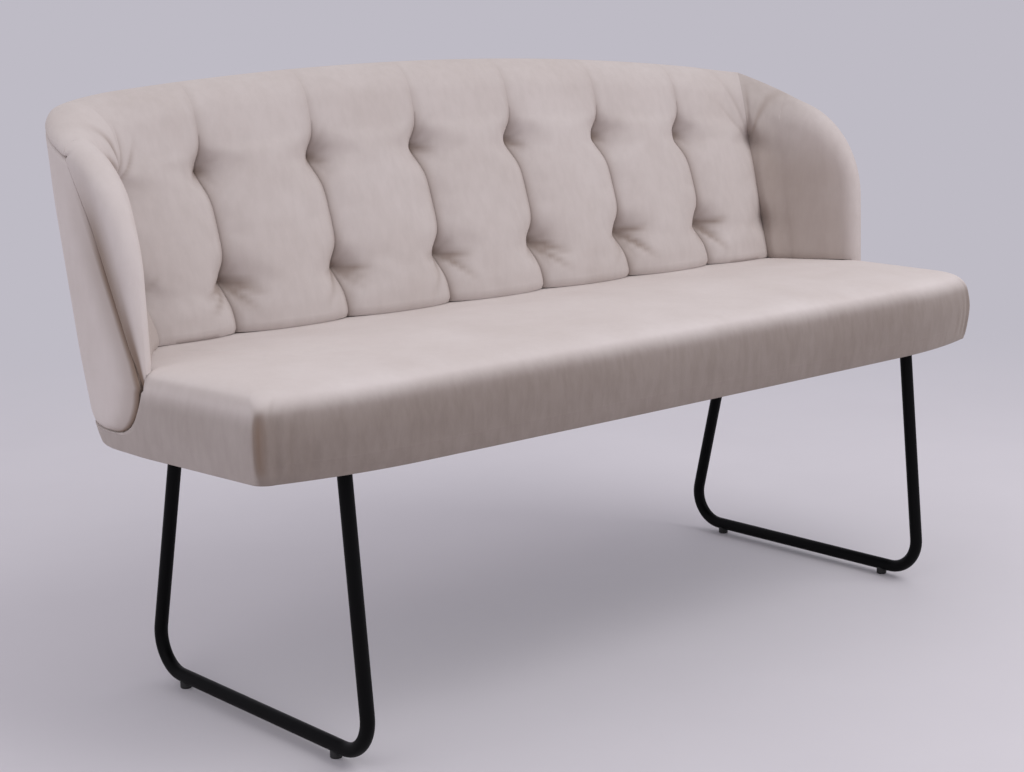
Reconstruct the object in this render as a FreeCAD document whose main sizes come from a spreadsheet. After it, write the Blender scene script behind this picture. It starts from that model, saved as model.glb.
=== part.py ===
import FreeCAD, Part
import Sketcher
import math
import os

# Upholstered banquette bench, in millimetres.
# X runs along the bench, +Y points to its rear, +Z up. The origin is on the
# floor, under the middle of the bench's bounding box.

V = FreeCAD.Vector
doc = FreeCAD.newDocument("banquette_bench")
sheet = doc.addObject("Spreadsheet::Sheet", "size")

SIZES = (
    # whole bench
    ("overall_width", 1438, "over the wings"),
    ("back_top", 845, "top of the back at its middle"),
    ("clearance", 0.3, "between a soft piece and its neighbour"),
    ("bend_clearance", 1.2, "between a wing's pad and the bent shell"),
    ("overrun", 40, "how far a cutting shape passes the piece it cuts"),
    # sled legs
    ("tube_outer", 19, "outer diameter of the leg tube"),
    ("tube_wall", 1.5, "wall of the leg tube"),
    ("tube_bend", 50, "bend radius on the tube's centre line"),
    ("leg_inset", 159, "middle of a leg frame inside the bench's end"),
    ("runner_height", 16.5, "centre line of the floor runner"),
    ("runner_front_inset", 26, "runner's front corner behind the seat's front"),
    ("runner_rear_reach", 36, "runner's rear corner behind the back's lower edge"),
    ("front_leg_lean", 37, "how far the front leg leans back on its way up"),
    ("rear_leg_lean", 86, "how far the rear leg leans forward on its way up"),
    # glides
    ("glide_diameter", 16, "disc under the runner"),
    ("glide_edge", 1.5, "rounding of the disc's lower edge"),
    ("glide_inset", 72, "from the runner's corner to the glide"),
    ("glide_wrap", 4.75, "top of the glide below the tube's centre line"),
    # mounting plates and their bolts
    ("plate_thickness", 5, "steel plate on top of a leg frame"),
    ("plate_width", 50, "across the bench's length"),
    ("plate_margin", 24, "plate beyond the tube's centre at each end"),
    ("plate_corner", 8, "corner radius of the plate"),
    ("bolt_stagger", 10, "bolts to either side of the plate's middle line"),
    ("bolt_diameter", 8, "shank of a leg bolt"),
    ("bolt_fit", 0.5, "clearance on a bolt's diameter"),
    ("bolt_head_diameter", 16, "button head"),
    ("bolt_head_height", 4.4, "button head"),
    ("bolt_socket", 5, "hexagon socket, across its flats"),
    ("bolt_socket_depth", 2.6, "hexagon socket"),
    ("bolt_reach", 21, "shank above the plate's underside"),
    ("nut_barrel", 11, "outer diameter of a tee nut's barrel"),
    ("nut_flange", 22, "diameter of a tee nut's flange"),
    ("nut_flange_thickness", 2, "tee nut's flange"),
    ("nut_length", 13, "tee nut from its flange's top down"),
    # seat board and cleats
    ("dust_thickness", 2, "dust cover with its hem and staples"),
    ("board_thickness", 21, "birch plywood"),
    ("board_inset", 16, "board's edge inside the seat's widest line"),
    ("dust_inset", 14, "edge of the dust cover inside the board's edge"),
    ("cleat_size", 28, "square timber cleat between board and back shell"),
    ("cleat_gap", 130, "from a cleat's end to the shell's corner line"),
    ("side_cleat_length", 110, "cleat along a wing"),
    # seat upholstery
    ("seat_front", 286, "front of the seat at its middle"),
    ("seat_front_inset", 16, "front corner inside the bench's end"),
    ("seat_shoulder_inset", 219, "end of the nearly straight front, inside the end"),
    ("seat_shoulder_drop", 3, "front line there, behind its middle"),
    ("seat_corner_drop", 32, "front line at the corner, behind its middle"),
    ("seat_corner", 17, "plan radius of the front corner"),
    ("seat_side_turn", 20, "where the side reaches full width, before origin"),
    ("seat_bottom", 383, "lowest line of the seat"),
    ("seat_edge_height", 110, "seat's bottom to its top edge line"),
    ("seat_crown", 6, "rise of the seat's middle over its edge line"),
    # back shell
    ("shell_gap", 1, "lower edge of the back over the seat board"),
    ("shell_thickness", 10, "bent plywood"),
    ("outer_pad", 7, "padded cover outside the shell"),
    ("back_rear", 194, "outer face of the back at its lower edge"),
    ("back_corner", 145, "plan radius of the outer face"),
    ("back_reach", 90, "how far the uncut wings run before the origin"),
    ("arch_radius", 6000, "the back's top line, seen from the front"),
    ("top_roll", 22, "upholstery above the shell's top edge"),
    # outline of a wing, seen from the side
    ("wing_front", 17.5, "front line of a wing, before the origin"),
    ("wing_low_front", 44, "lower front corner of the outer panel, before rounding"),
    ("wing_low_corner", 60, "radius of the outer panel's lower corner"),
    ("wing_meet_round", 30, "radius where the shell's groove line meets its top line"),
    ("wing_edge_thickness", 31, "padded front edge of a wing"),
    ("wing_edge_round", 11, "rounding of that padded edge"),
    ("wing_edge_foot", 8, "width of the padded edge at the seat"),
    # back upholstery
    ("pad_gap", 0.5, "underside of the back pads over the seat's crown"),
    ("lumbar_depth", 98, "pad at the seat, from the shell's face"),
    ("lower_depth", 94, "pad's crown at the lower tufts"),
    ("upper_depth", 78, "pad's crown at the upper tufts"),
    ("roll_depth", 66, "pad's crown where the top roll starts"),
    ("lower_tuft_depth", 48, "pad at a lower tuft"),
    ("upper_tuft_depth", 36, "pad at an upper tuft"),
    ("seam_dip", 20, "seam below the crown, away from the tufts"),
    ("crown_bow", 2, "bow of the crown line between two levels"),
    ("seam_top_dip", 9, "seam below the crown, on the top roll"),
    ("wing_pad_depth", 16, "pad beside the wing's padded edge"),
)

SHARES = (
    ("back_lean_share", 0.223, "rearward lean of the back for its height"),
    ("groove_slope_share", 0.53, "the same for the groove behind a wing's edge"),
    ("channel_share", 0.1655, "between two sewn seams, of the back's straight part"),
    ("lower_tuft_share", 0.184, "lower tufts, of the pads' height"),
    ("upper_tuft_share", 0.632, "upper tufts, of the pads' height"),
    ("roll_height_share", 0.1275, "height of the top roll's front curve, of it too"),
    ("roll_bow_share", 0.032, "bow of a seam from that roll to the upper tuft"),
    ("waist_bow_share", 0.0752, "bow of a seam between the tufts"),
    ("foot_bow_share", 0.0232, "bow of a seam from the lower tuft to the seat"),
    ("wing_corner_share", 0.615, "where a wing's front and top lines meet, of that height"),
    ("wing_round_share", 0.588, "radius between those lines, of the corner's height"),
)

# Levels and reaches that follow from the sizes above. The last four give the
# corner where a wing's top line meets the arch, halfway round the bend.
FORMULAS = (
    ("runner_front", "=seat_front - runner_front_inset"),
    ("runner_rear", "=back_rear + runner_rear_reach"),
    ("board_level", "=seat_bottom + dust_thickness"),
    ("shell_bottom", "=board_level + board_thickness + shell_gap"),
    ("pad_level", "=seat_bottom + seat_edge_height + seat_crown + pad_gap"),
    ("channel_pitch", "=(overall_width - 2 * back_corner) * channel_share"),
    ("pad_height", "=back_top - pad_level"),
    ("lower_tuft", "=pad_level + pad_height * lower_tuft_share"),
    ("upper_tuft", "=pad_level + pad_height * upper_tuft_share"),
    ("roll_height", "=pad_height * roll_height_share"),
    ("roll_seam_bow", "=pad_height * roll_bow_share"),
    ("waist_seam_bow", "=pad_height * waist_bow_share"),
    ("foot_seam_bow", "=pad_height * foot_bow_share"),
    ("wing_corner_level", "=pad_level + pad_height * wing_corner_share"),
    ("wing_corner", "=(wing_corner_level - pad_level) * wing_round_share"),
    ("corner_half", "=overall_width / 2 - back_corner * (1 - sqrt(0.5))"),
    ("corner_level", "=back_top - corner_half ^ 2 / (2 * arch_radius)"),
    ("corner_rear", "=back_rear - back_corner * (1 - sqrt(0.5))"
                    " + back_lean_share * (corner_level - shell_bottom)"),
    ("wing_top_slope_share", "=(corner_level - wing_corner_level)"
                             " / (corner_rear + wing_front)"),
)


def fill_sheet():
    """Writes every driving dimension to the sheet, one row each."""
    rows = [(name, str(value)) for name, value, _ in SIZES + SHARES]
    rows += FORMULAS
    for row, (name, value) in enumerate(rows, start=1):
        sheet.set(f"A{row}", name)
        sheet.set(f"B{row}", value)
        sheet.setAlias(f"B{row}", name)
    doc.recompute()


def mm(text):
    """The value of an expression in the sheet's names."""
    return float(sheet.evalExpression(text))


fill_sheet()


# Helpers for sketched pieces

def add_body(name):
    return doc.addObject("PartDesign::Body", name)


def add_sketch(body, name, role, offset=None):
    """A sketch on one of the body's own origin planes, offset along its normal."""
    sketch = body.newObject("Sketcher::SketchObject", name)
    plane = [item for item in body.Origin.OriginFeatures if item.Role == role][0]
    sketch.AttachmentSupport = [(plane, "")]
    sketch.MapMode = "FlatFace"
    if offset:
        sketch.setExpression("AttachmentOffset.Base.z", offset)
    return sketch


def bind(sketch, kind, where, text):
    """Adds a dimension to a sketch and ties it to an expression."""
    index = sketch.addConstraint(Sketcher.Constraint(kind, *where, mm(text)))
    sketch.setExpression(f"Constraints[{index}]", text)


def bind_point(sketch, geometry, position, across, up):
    bind(sketch, "DistanceX", (-1, 1, geometry, position), across)
    bind(sketch, "DistanceY", (-1, 1, geometry, position), up)


def corner_trim(before, here, after, radius):
    """Where a corner's arc leaves its two lines, its centre and its turning sense."""
    into = (here - before).normalize()
    out = (after - here).normalize()
    turn = into.getAngle(out)
    reach = radius * math.tan(turn / 2)
    sense = 1 if into.cross(out).z > 0 else -1
    start = here - into * reach
    end = here + out * reach
    centre = start + V(-into.y, into.x, 0) * radius * sense
    return start, end, centre, sense


def draw_outline(sketch, corners, closed=True):
    """Draws lines through corners (across, up[, radius]), each an expression."""
    count = len(corners)
    points = [V(mm(corner[0]), mm(corner[1]), 0) for corner in corners]
    trims = {}
    for index, corner in enumerate(corners):
        if len(corner) == 3:
            trims[index] = corner_trim(points[index - 1], points[index],
                                       points[(index + 1) % count], mm(corner[2]))
    lines = []
    for index in range(count if closed else count - 1):
        following = (index + 1) % count
        start = trims[index][1] if index in trims else points[index]
        end = trims[following][0] if following in trims else points[following]
        lines.append(sketch.addGeometry(Part.LineSegment(start, end), False))
    for index, corner in enumerate(corners):
        has_before = closed or index > 0
        has_after = closed or index < count - 1
        if index in trims:
            round_corner(sketch, corner, points[index], trims[index],
                         lines[index - 1], lines[index])
            continue
        if has_before and has_after:
            sketch.addConstraint(Sketcher.Constraint(
                "Coincident", lines[index - 1], 2, lines[index], 1))
        line, end = (lines[index], 1) if has_after else (lines[index - 1], 2)
        bind_point(sketch, line, end, corner[0], corner[1])


def round_corner(sketch, corner, point, trim, line_before, line_after):
    """Joins two lines by a tangent arc whose virtual corner is dimensioned."""
    start, end, centre, sense = trim
    circle = Part.Circle(centre, V(0, 0, 1), mm(corner[2]))
    first, last = (start, end) if sense > 0 else (end, start)
    angles = [math.atan2((spot - centre).y, (spot - centre).x) for spot in (first, last)]
    arc = sketch.addGeometry(Part.ArcOfCircle(circle, *angles), False)
    mark = sketch.addGeometry(Part.Point(point), True)
    near, far = (1, 2) if sense > 0 else (2, 1)
    sketch.addConstraint([
        Sketcher.Constraint("Tangent", line_before, 2, arc, near),
        Sketcher.Constraint("Tangent", arc, far, line_after, 1),
        Sketcher.Constraint("PointOnObject", mark, 1, line_before),
        Sketcher.Constraint("PointOnObject", mark, 1, line_after)])
    bind_point(sketch, mark, 1, corner[0], corner[1])
    bind(sketch, "Radius", (arc,), corner[2])


def draw_circle(sketch, across, up, radius):
    circle = Part.Circle(V(mm(across), mm(up), 0), V(0, 0, 1), mm(radius))
    index = sketch.addGeometry(circle, False)
    bind_point(sketch, index, 3, across, up)
    bind(sketch, "Radius", (index,), radius)


def pad(body, sketch, length, name, reverse=False):
    feature = body.newObject("PartDesign::Pad", name)
    feature.Profile = sketch
    feature.setExpression("Length", length)
    feature.Reversed = reverse
    sketch.Visibility = False
    doc.recompute()
    return feature


def pocket(body, sketch, name, reverse=False, both=False, length=None):
    """Cuts a sketch away and makes sure that it took something off."""
    before = body.Shape.Volume
    feature = body.newObject("PartDesign::Pocket", name)
    feature.Profile = sketch
    feature.Reversed = reverse
    feature.Midplane = both
    if length:
        feature.setExpression("Length", length)
    else:
        feature.Type = "ThroughAll"
    doc.recompute()
    if body.Shape.Volume >= before:
        raise ValueError(name + " cut nothing")
    return feature


def fillet(body, edges, radius, name):
    base = body.Tip
    feature = body.newObject("PartDesign::Fillet", name)
    feature.Base = (base, edges)
    feature.setExpression("Radius", radius)
    doc.recompute()
    return feature


def edges_where(body, test):
    return [f"Edge{index}" for index, edge in enumerate(body.Shape.Edges, start=1)
            if test(edge)]


# Degree of the curves that a smooth loft runs through its sections
LOFT_DEGREE = 3


def smooth_loft(sections):
    """A solid that passes smoothly through closed sections."""
    return Part.makeLoft(sections, True, False, False, LOFT_DEGREE)


def add_solid(name, shape):
    """A free-form piece, made of lofts, as one object of the document."""
    piece = doc.addObject("Part::Feature", name)
    piece.Shape = shape
    return piece


# Sled legs

LEG_REACH = "(size.overall_width / 2 - size.leg_inset)"
RUNNER_SIDE = {"left": "-" + LEG_REACH, "right": LEG_REACH}
PLATE_BOTTOM = "(size.seat_bottom - size.plate_thickness)"
LEG_TOP_FRONT = "(-size.runner_front + size.front_leg_lean)"
LEG_TOP_REAR = "(size.runner_rear - size.rear_leg_lean)"


def make_leg_frame(side):
    """One bent tube: front leg, floor runner and rear leg, cut level on top."""
    body = add_body(side + "_leg_frame")
    section = add_sketch(body, side + "_tube_section", "XZ_Plane")
    draw_circle(section, "0", "size.runner_height", "size.tube_outer / 2")
    draw_circle(section, "0", "size.runner_height",
                "size.tube_outer / 2 - size.tube_wall")
    ends = (("front", "-size.runner_front", LEG_TOP_FRONT),
            ("rear", "size.runner_rear", LEG_TOP_REAR))
    for end, corner, top in ends:
        path = add_sketch(body, f"{side}_{end}_tube_line", "YZ_Plane")
        draw_outline(path, (
            ("0", "size.runner_height"),
            (corner, "size.runner_height", "size.tube_bend"),
            (top, "size.seat_bottom")), closed=False)
        doc.recompute()
        pipe = body.newObject("PartDesign::AdditivePipe", f"{side}_{end}_tube")
        pipe.Profile = section
        pipe.Spine = (path, [""])
        doc.recompute()
    cut = add_sketch(body, side + "_top_cut", "XY_Plane", PLATE_BOTTOM)
    draw_outline(cut, (
        ("-size.overrun", "-size.runner_front - size.overrun"),
        ("size.overrun", "-size.runner_front - size.overrun"),
        ("size.overrun", "size.runner_rear + size.overrun"),
        ("-size.overrun", "size.runner_rear + size.overrun")))
    doc.recompute()
    pocket(body, cut, side + "_level_top", reverse=True)
    body.setExpression("Placement.Base.x", RUNNER_SIDE[side])
    return body


BOLT_SHARES = (0.17, 0.36, 0.64, 0.83)
BOLT_SIDES = (-1, 1, 1, -1)
PLATE_FRONT = f"({LEG_TOP_FRONT} - size.plate_margin)"
PLATE_REAR = f"({LEG_TOP_REAR} + size.plate_margin)"


def bolt_places():
    """Bolt positions on a plate: across it and along it, as expressions."""
    for share, way in zip(BOLT_SHARES, BOLT_SIDES):
        yield (f"{way} * size.bolt_stagger",
               f"{PLATE_FRONT} + {share} * ({PLATE_REAR} - {PLATE_FRONT})")


def make_leg_plate(side):
    body = add_body(side + "_leg_plate")
    outline = add_sketch(body, side + "_plate_outline", "XY_Plane", PLATE_BOTTOM)
    half = "size.plate_width / 2"
    draw_outline(outline, (
        ("-" + half, PLATE_FRONT, "size.plate_corner"),
        (half, PLATE_FRONT, "size.plate_corner"),
        (half, PLATE_REAR, "size.plate_corner"),
        ("-" + half, PLATE_REAR, "size.plate_corner")))
    for across, along in bolt_places():
        draw_circle(outline, across, along, "(size.bolt_diameter + size.bolt_fit) / 2")
    doc.recompute()
    pad(body, outline, "size.plate_thickness", side + "_plate")
    body.setExpression("Placement.Base.x", RUNNER_SIDE[side])
    return body


def make_glide(side, end, place):
    """A disc under the runner, hollowed to the tube it is pressed on."""
    name = f"{side}_{end}_glide"
    body = add_body(name)
    disc = add_sketch(body, name + "_disc", "XY_Plane")
    draw_circle(disc, "0", "0", "size.glide_diameter / 2")
    doc.recompute()
    pad(body, disc, "size.runner_height - size.glide_wrap", name + "_pad")
    fillet(body, edges_where(body, lambda edge: edge.BoundBox.ZMax < mm("size.glide_edge")),
           "size.glide_edge", name + "_edge")
    seat = add_sketch(body, name + "_tube_seat", "XZ_Plane")
    draw_circle(seat, "0", "size.runner_height", "size.tube_outer / 2")
    doc.recompute()
    pocket(body, seat, name + "_saddle", both=True)
    body.setExpression("Placement.Base.x", RUNNER_SIDE[side])
    body.setExpression("Placement.Base.y", place)
    return body


def make_leg_bolt(side, number, across, along):
    """Button-head bolt, put in from below through the plate and the board."""
    name = f"{side}_leg_bolt_{number}"
    body = add_body(name)
    head = add_sketch(body, name + "_head", "XY_Plane", PLATE_BOTTOM)
    draw_circle(head, "0", "0",
                "size.bolt_head_diameter / 2")
    doc.recompute()
    pad(body, head, "size.bolt_head_height", name + "_button", reverse=True)
    low = mm(PLATE_BOTTOM + " - size.bolt_head_height / 2")
    fillet(body, edges_where(body, lambda edge: edge.BoundBox.ZMax < low),
           "size.bolt_head_height / 2", name + "_dome")
    shank = add_sketch(body, name + "_shank", "XY_Plane", PLATE_BOTTOM)
    draw_circle(shank, "0", "0", "size.bolt_diameter / 2")
    doc.recompute()
    pad(body, shank, "size.bolt_reach", name + "_thread")
    socket = add_sketch(body, name + "_socket", "XY_Plane",
                        PLATE_BOTTOM + " - size.bolt_head_height")
    flats = "size.bolt_socket / 2"
    draw_outline(socket, (
        ("-" + flats, "-size.bolt_socket * tan(30) / 2"),
        ("0", "-size.bolt_socket / cos(30) / 2"),
        (flats, "-size.bolt_socket * tan(30) / 2"),
        (flats, "size.bolt_socket * tan(30) / 2"),
        ("0", "size.bolt_socket / cos(30) / 2"),
        ("-" + flats, "size.bolt_socket * tan(30) / 2")))
    doc.recompute()
    pocket(body, socket, name + "_hexagon", reverse=True, length="size.bolt_socket_depth")
    body.setExpression("Placement.Base.x", f"{RUNNER_SIDE[side]} + {across}")
    body.setExpression("Placement.Base.y", along)
    return body


BOARD_TOP = "(size.board_level + size.board_thickness)"


def make_tee_nut(side, number, across, along):
    """Flanged sleeve nut, let into the top of the seat board."""
    name = f"{side}_tee_nut_{number}"
    body = add_body(name)
    flange = add_sketch(body, name + "_flange", "XY_Plane", BOARD_TOP)
    draw_circle(flange, "0", "0", "size.nut_flange / 2")
    doc.recompute()
    pad(body, flange, "size.nut_flange_thickness", name + "_plate", reverse=True)
    barrel = add_sketch(body, name + "_barrel", "XY_Plane", BOARD_TOP)
    draw_circle(barrel, "0", "0", "size.nut_barrel / 2")
    doc.recompute()
    pad(body, barrel, "size.nut_length", name + "_sleeve", reverse=True)
    bore = add_sketch(body, name + "_bore", "XY_Plane", BOARD_TOP)
    draw_circle(bore, "0", "0", "size.bolt_diameter / 2")
    doc.recompute()
    pocket(body, bore, name + "_thread")
    body.setExpression("Placement.Base.x", f"{RUNNER_SIDE[side]} + {across}")
    body.setExpression("Placement.Base.y", along)
    return body


def make_legs():
    pieces = []
    glides = (("front", "-size.runner_front + size.glide_inset"),
              ("rear", "size.runner_rear - size.glide_inset"))
    for side in ("left", "right"):
        pieces.append(make_leg_frame(side))
        pieces.append(make_leg_plate(side))
        for end, place in glides:
            pieces.append(make_glide(side, end, place))
        for number, (across, along) in enumerate(bolt_places(), start=1):
            pieces.append(make_leg_bolt(side, number, across, along))
            pieces.append(make_tee_nut(side, number, across, along))
    return pieces


# Outlines of the seat

GROOVE_FOOT = "(size.wing_edge_foot - size.wing_front)"
# Growth of the front corner's radius with the inset, and the bow of the front
# line between its nearly straight part and the corner
CORNER_GROWTH_SHARE = 0.4
SHOULDER_SHARE = 0.3
# The middle of a quarter bend, inside the bend's square corner
BEND_MIDDLE_SHARE = 1 - math.sqrt(0.5)


def blend(low, high, share):
    return low + (high - low) * share


def back_shift(level):
    """How far the leaning back has moved rearward at a level."""
    return mm("back_lean_share") * (level - mm("shell_bottom"))


def seat_points(level, inset, rear_inset):
    """Half of the seat's outline, from the middle of its front to its rear."""
    half = mm("overall_width / 2")
    front_half = half - mm("seat_front_inset") - inset
    rear_radius = mm("back_corner") - rear_inset
    rear = mm("back_rear") - rear_inset + back_shift(level)
    corner = mm("seat_corner") + inset * CORNER_GROWTH_SHARE
    corner_front = mm("seat_corner_drop - seat_front") + inset
    shoulder_front = mm("seat_shoulder_drop - seat_front") + inset
    shoulder = half - mm("seat_shoulder_inset") - inset
    cut = BEND_MIDDLE_SHARE
    return {
        "front": V(0, -mm("seat_front") + inset, level),
        "shoulder": V(shoulder, shoulder_front, level),
        "shoulder_mid": V((shoulder + front_half - corner) / 2,
                          blend(shoulder_front, corner_front, SHOULDER_SHARE), level),
        "corner_start": V(front_half - corner, corner_front, level),
        "corner_mid": V(front_half - corner * cut, corner_front + corner * cut, level),
        "corner_end": V(front_half, corner_front + corner, level),
        "side": V(half - inset, -mm("seat_side_turn"), level),
        "rear_start": V(half - rear_inset, rear - rear_radius, level),
        "rear_mid": V(half - rear_inset - rear_radius * cut, rear - rear_radius * cut, level),
        "rear_end": V(half - rear_inset - rear_radius, rear, level),
    }


def mirrored(point):
    return V(-point.x, point.y, point.z)


def seat_outline(level, inset, rear_inset):
    """Closed plan outline of the seat at a level."""
    spot = seat_points(level, inset, rear_inset)
    flip = {name: mirrored(point) for name, point in spot.items()}
    edges = [
        Part.Arc(flip["shoulder"], spot["front"], spot["shoulder"]).toShape(),
        Part.Arc(spot["shoulder"], spot["shoulder_mid"], spot["corner_start"]).toShape(),
        Part.Arc(spot["corner_start"], spot["corner_mid"], spot["corner_end"]).toShape(),
        Part.makeLine(spot["corner_end"], spot["side"]),
        Part.makeLine(spot["side"], spot["rear_start"]),
        Part.Arc(spot["rear_start"], spot["rear_mid"], spot["rear_end"]).toShape(),
        Part.makeLine(spot["rear_end"], flip["rear_end"]),
        Part.Arc(flip["rear_end"], flip["rear_mid"], flip["rear_start"]).toShape(),
        Part.makeLine(flip["rear_start"], flip["side"]),
        Part.makeLine(flip["side"], flip["corner_end"]),
        Part.Arc(flip["corner_end"], flip["corner_mid"], flip["corner_start"]).toShape(),
        Part.Arc(flip["corner_start"], flip["shoulder_mid"], flip["shoulder"]).toShape(),
    ]
    return Part.Wire(edges)


# The seat's stacked outlines: level, inset of the front and sides, inset of the
# rear, all as shares of the seat's edge height. Drawn in below, fullest at
# mid-height and rounded on top.
SEAT_LAYER_SHARES = (
    (0.0, 0.115, 0.045),
    (0.06, 0.08, 0.03),
    (0.2, 0.035, 0.01),
    (0.48, 0.0, 0.0),
    (0.74, 0.03, 0.03),
    (0.88, 0.105, 0.1),
    (0.955, 0.2, 0.2),
    (1.0, 0.36, 0.34),
)
# The crown above the edge line: share of its rise, then insets as above
CROWN_LAYER_SHARES = (
    (0.45, 0.62, 0.55),
    (0.8, 0.95, 0.8),
    (1.0, 1.25, 0.95),
)
BOARD_REAR_SHARE = 0.5


def seat_body():
    """The whole seat as a loft through its stacked outlines."""
    height = mm("seat_edge_height")
    bottom = mm("seat_bottom")
    layers = [(bottom + rise * height, inset, rear)
              for rise, inset, rear in SEAT_LAYER_SHARES]
    layers += [(bottom + height + rise * mm("seat_crown"), inset, rear)
               for rise, inset, rear in CROWN_LAYER_SHARES]
    wires = [seat_outline(level, inset * height, rear * height)
             for level, inset, rear in layers]
    return smooth_loft(wires)


def plan_of_back(inset, front, level):
    """U-shaped plan line of the back, drawn in by an inset, at a level."""
    side = mm("overall_width / 2") - inset
    radius = mm("back_corner") - inset
    rear = mm("back_rear") - inset
    shift = back_shift(level)
    cut = radius * BEND_MIDDLE_SHARE
    right = [V(side, front + shift, level), V(side, rear - radius + shift, level),
             V(side - cut, rear - cut + shift, level),
             V(side - radius, rear + shift, level)]
    left = [mirrored(point) for point in right]
    return right, left


def inside_of_back(inset, front, low, high):
    """The space inside the leaning U, drawn in by an inset, as one solid."""
    wires = []
    for level in (low, high):
        right, left = plan_of_back(inset, front, level)
        wires.append(Part.Wire([
            Part.makeLine(left[0], right[0]),
            Part.makeLine(right[0], right[1]),
            Part.Arc(right[1], right[2], right[3]).toShape(),
            Part.makeLine(right[3], left[3]),
            Part.Arc(left[3], left[2], left[1]).toShape(),
            Part.makeLine(left[1], left[0])]))
    return Part.makeLoft(wires, True, True)


def wing_profile(grow):
    """Side view of the back, from the panel's lower corner up its groove line."""
    low = mm("shell_bottom") - grow
    high = mm("back_top")
    foot = mm(GROOVE_FOOT) - grow
    rear = mm("back_rear + overrun") + back_shift(high)
    radius = mm("wing_low_corner") + grow
    width = mm("overall_width / 2 + overrun")
    front = -mm("wing_low_front") - grow
    above = foot + mm("groove_slope_share") * (high - mm("pad_level"))
    flat = [V(rear, low, 0), V(front, low, 0), V(foot, mm("pad_level"), 0)]
    start, end, centre, _ = corner_trim(*flat, radius)
    middle = centre + (flat[1] - centre).normalize() * radius
    start, middle, end, foot_point, rear_low, rear_high, front_high = [
        V(-width, spot.x, spot.y)
        for spot in (start, middle, end, flat[2], flat[0], V(rear, high, 0),
                     V(above, high, 0))]
    edges = [
        Part.makeLine(rear_low, start),
        Part.Arc(start, middle, end).toShape(),
        Part.makeLine(end, foot_point),
        Part.makeLine(foot_point, front_high),
        Part.makeLine(front_high, rear_high),
        Part.makeLine(rear_high, rear_low)]
    return Part.Face(Part.Wire(edges)).extrude(V(2 * width, 0, 0))


def room_for_back():
    """What the seat leaves free for the back's shell and padding."""
    grow = mm("clearance")
    inner = inside_of_back(mm("outer_pad + shell_thickness") + grow,
                           -mm("seat_front + overrun"),
                           mm("shell_bottom - overrun"), mm("back_top"))
    return wing_profile(grow).cut(inner)


def board_plate(inset, low, high):
    """A flat plate that follows the seat's outline."""
    level = mm("board_level")
    plate = Part.Face(seat_outline(level, inset, inset * BOARD_REAR_SHARE))
    plate.translate(V(0, 0, low - level))
    return plate.extrude(V(0, 0, high - low))


def make_seat_cushion(cleats):
    """Foam in its cover, cut back for the back's shell, the board and the cleats."""
    gap = mm("clearance")
    inset = mm("board_inset")
    low = mm("board_level")
    high = low + mm("board_thickness")
    cushion = seat_body().cut(room_for_back())
    cushion = cushion.cut(board_plate(inset - gap, low, high + gap))
    cushion = cushion.cut(board_plate(inset + mm("dust_inset") - gap,
                                      mm("seat_bottom - overrun"), low))
    for cleat in cleats:
        grown = cleat.BoundBox
        grown.enlarge(gap)
        cushion = cushion.cut(Part.makeBox(grown.XLength, grown.YLength, grown.ZLength,
                                           V(grown.XMin, grown.YMin, grown.ZMin)))
    return add_solid("seat_cushion", cushion)


def drill(shape, diameter, low, high):
    """Bores a hole at every leg bolt, between two levels."""
    for side in ("left", "right"):
        for across, along in bolt_places():
            spot = V(mm(f"{RUNNER_SIDE[side]} + {across}"), mm(along), low)
            shape = shape.cut(Part.makeCylinder(diameter / 2, high - low, spot))
    return shape


def make_seat_board():
    """Plywood board with a recess and hole for every tee nut."""
    low = mm("board_level")
    high = low + mm("board_thickness")
    board = board_plate(mm("board_inset"), low, high)
    board = drill(board, mm("nut_barrel"), low, high)
    board = drill(board, mm("nut_flange"), high - mm("nut_flange_thickness"), high)
    return add_solid("seat_board", board)


def make_dust_cover():
    """Black cloth that closes the underside, between the board and the plates."""
    low = mm("seat_bottom")
    high = mm("board_level")
    cloth = board_plate(mm("board_inset + dust_inset"), low, high)
    return add_solid("dust_cover", drill(cloth, mm("bolt_diameter + bolt_fit"), low, high))


def make_cleats():
    """Timber cleats on the board, which carry the back's shell."""
    inset = "(size.outer_pad + size.shell_thickness)"
    inner_side = f"(size.overall_width / 2 - {inset})"
    inner_rear = f"(size.back_rear - {inset})"
    rear = doc.addObject("Part::Box", "rear_cleat")
    rear.setExpression("Length", f"2 * ({inner_side} - size.cleat_gap)")
    rear.setExpression("Width", "size.cleat_size")
    rear.setExpression("Height", "size.cleat_size")
    rear.setExpression("Placement.Base.x", f"-({inner_side} - size.cleat_gap)")
    rear.setExpression("Placement.Base.y", f"{inner_rear} - size.cleat_size")
    rear.setExpression("Placement.Base.z", BOARD_TOP)
    pieces = [rear]
    for side, start in (("left", f"-{inner_side}"),
                        ("right", f"{inner_side} - size.cleat_size")):
        cleat = doc.addObject("Part::Box", side + "_cleat")
        cleat.setExpression("Length", "size.cleat_size")
        cleat.setExpression("Width", "size.side_cleat_length")
        cleat.setExpression("Height", "size.cleat_size")
        cleat.setExpression("Placement.Base.x", start)
        cleat.setExpression("Placement.Base.y",
                            f"{inner_rear} - size.cleat_gap - size.side_cleat_length")
        cleat.setExpression("Placement.Base.z", BOARD_TOP)
        pieces.append(cleat)
    return pieces


# Back shell and its outer cover

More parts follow.
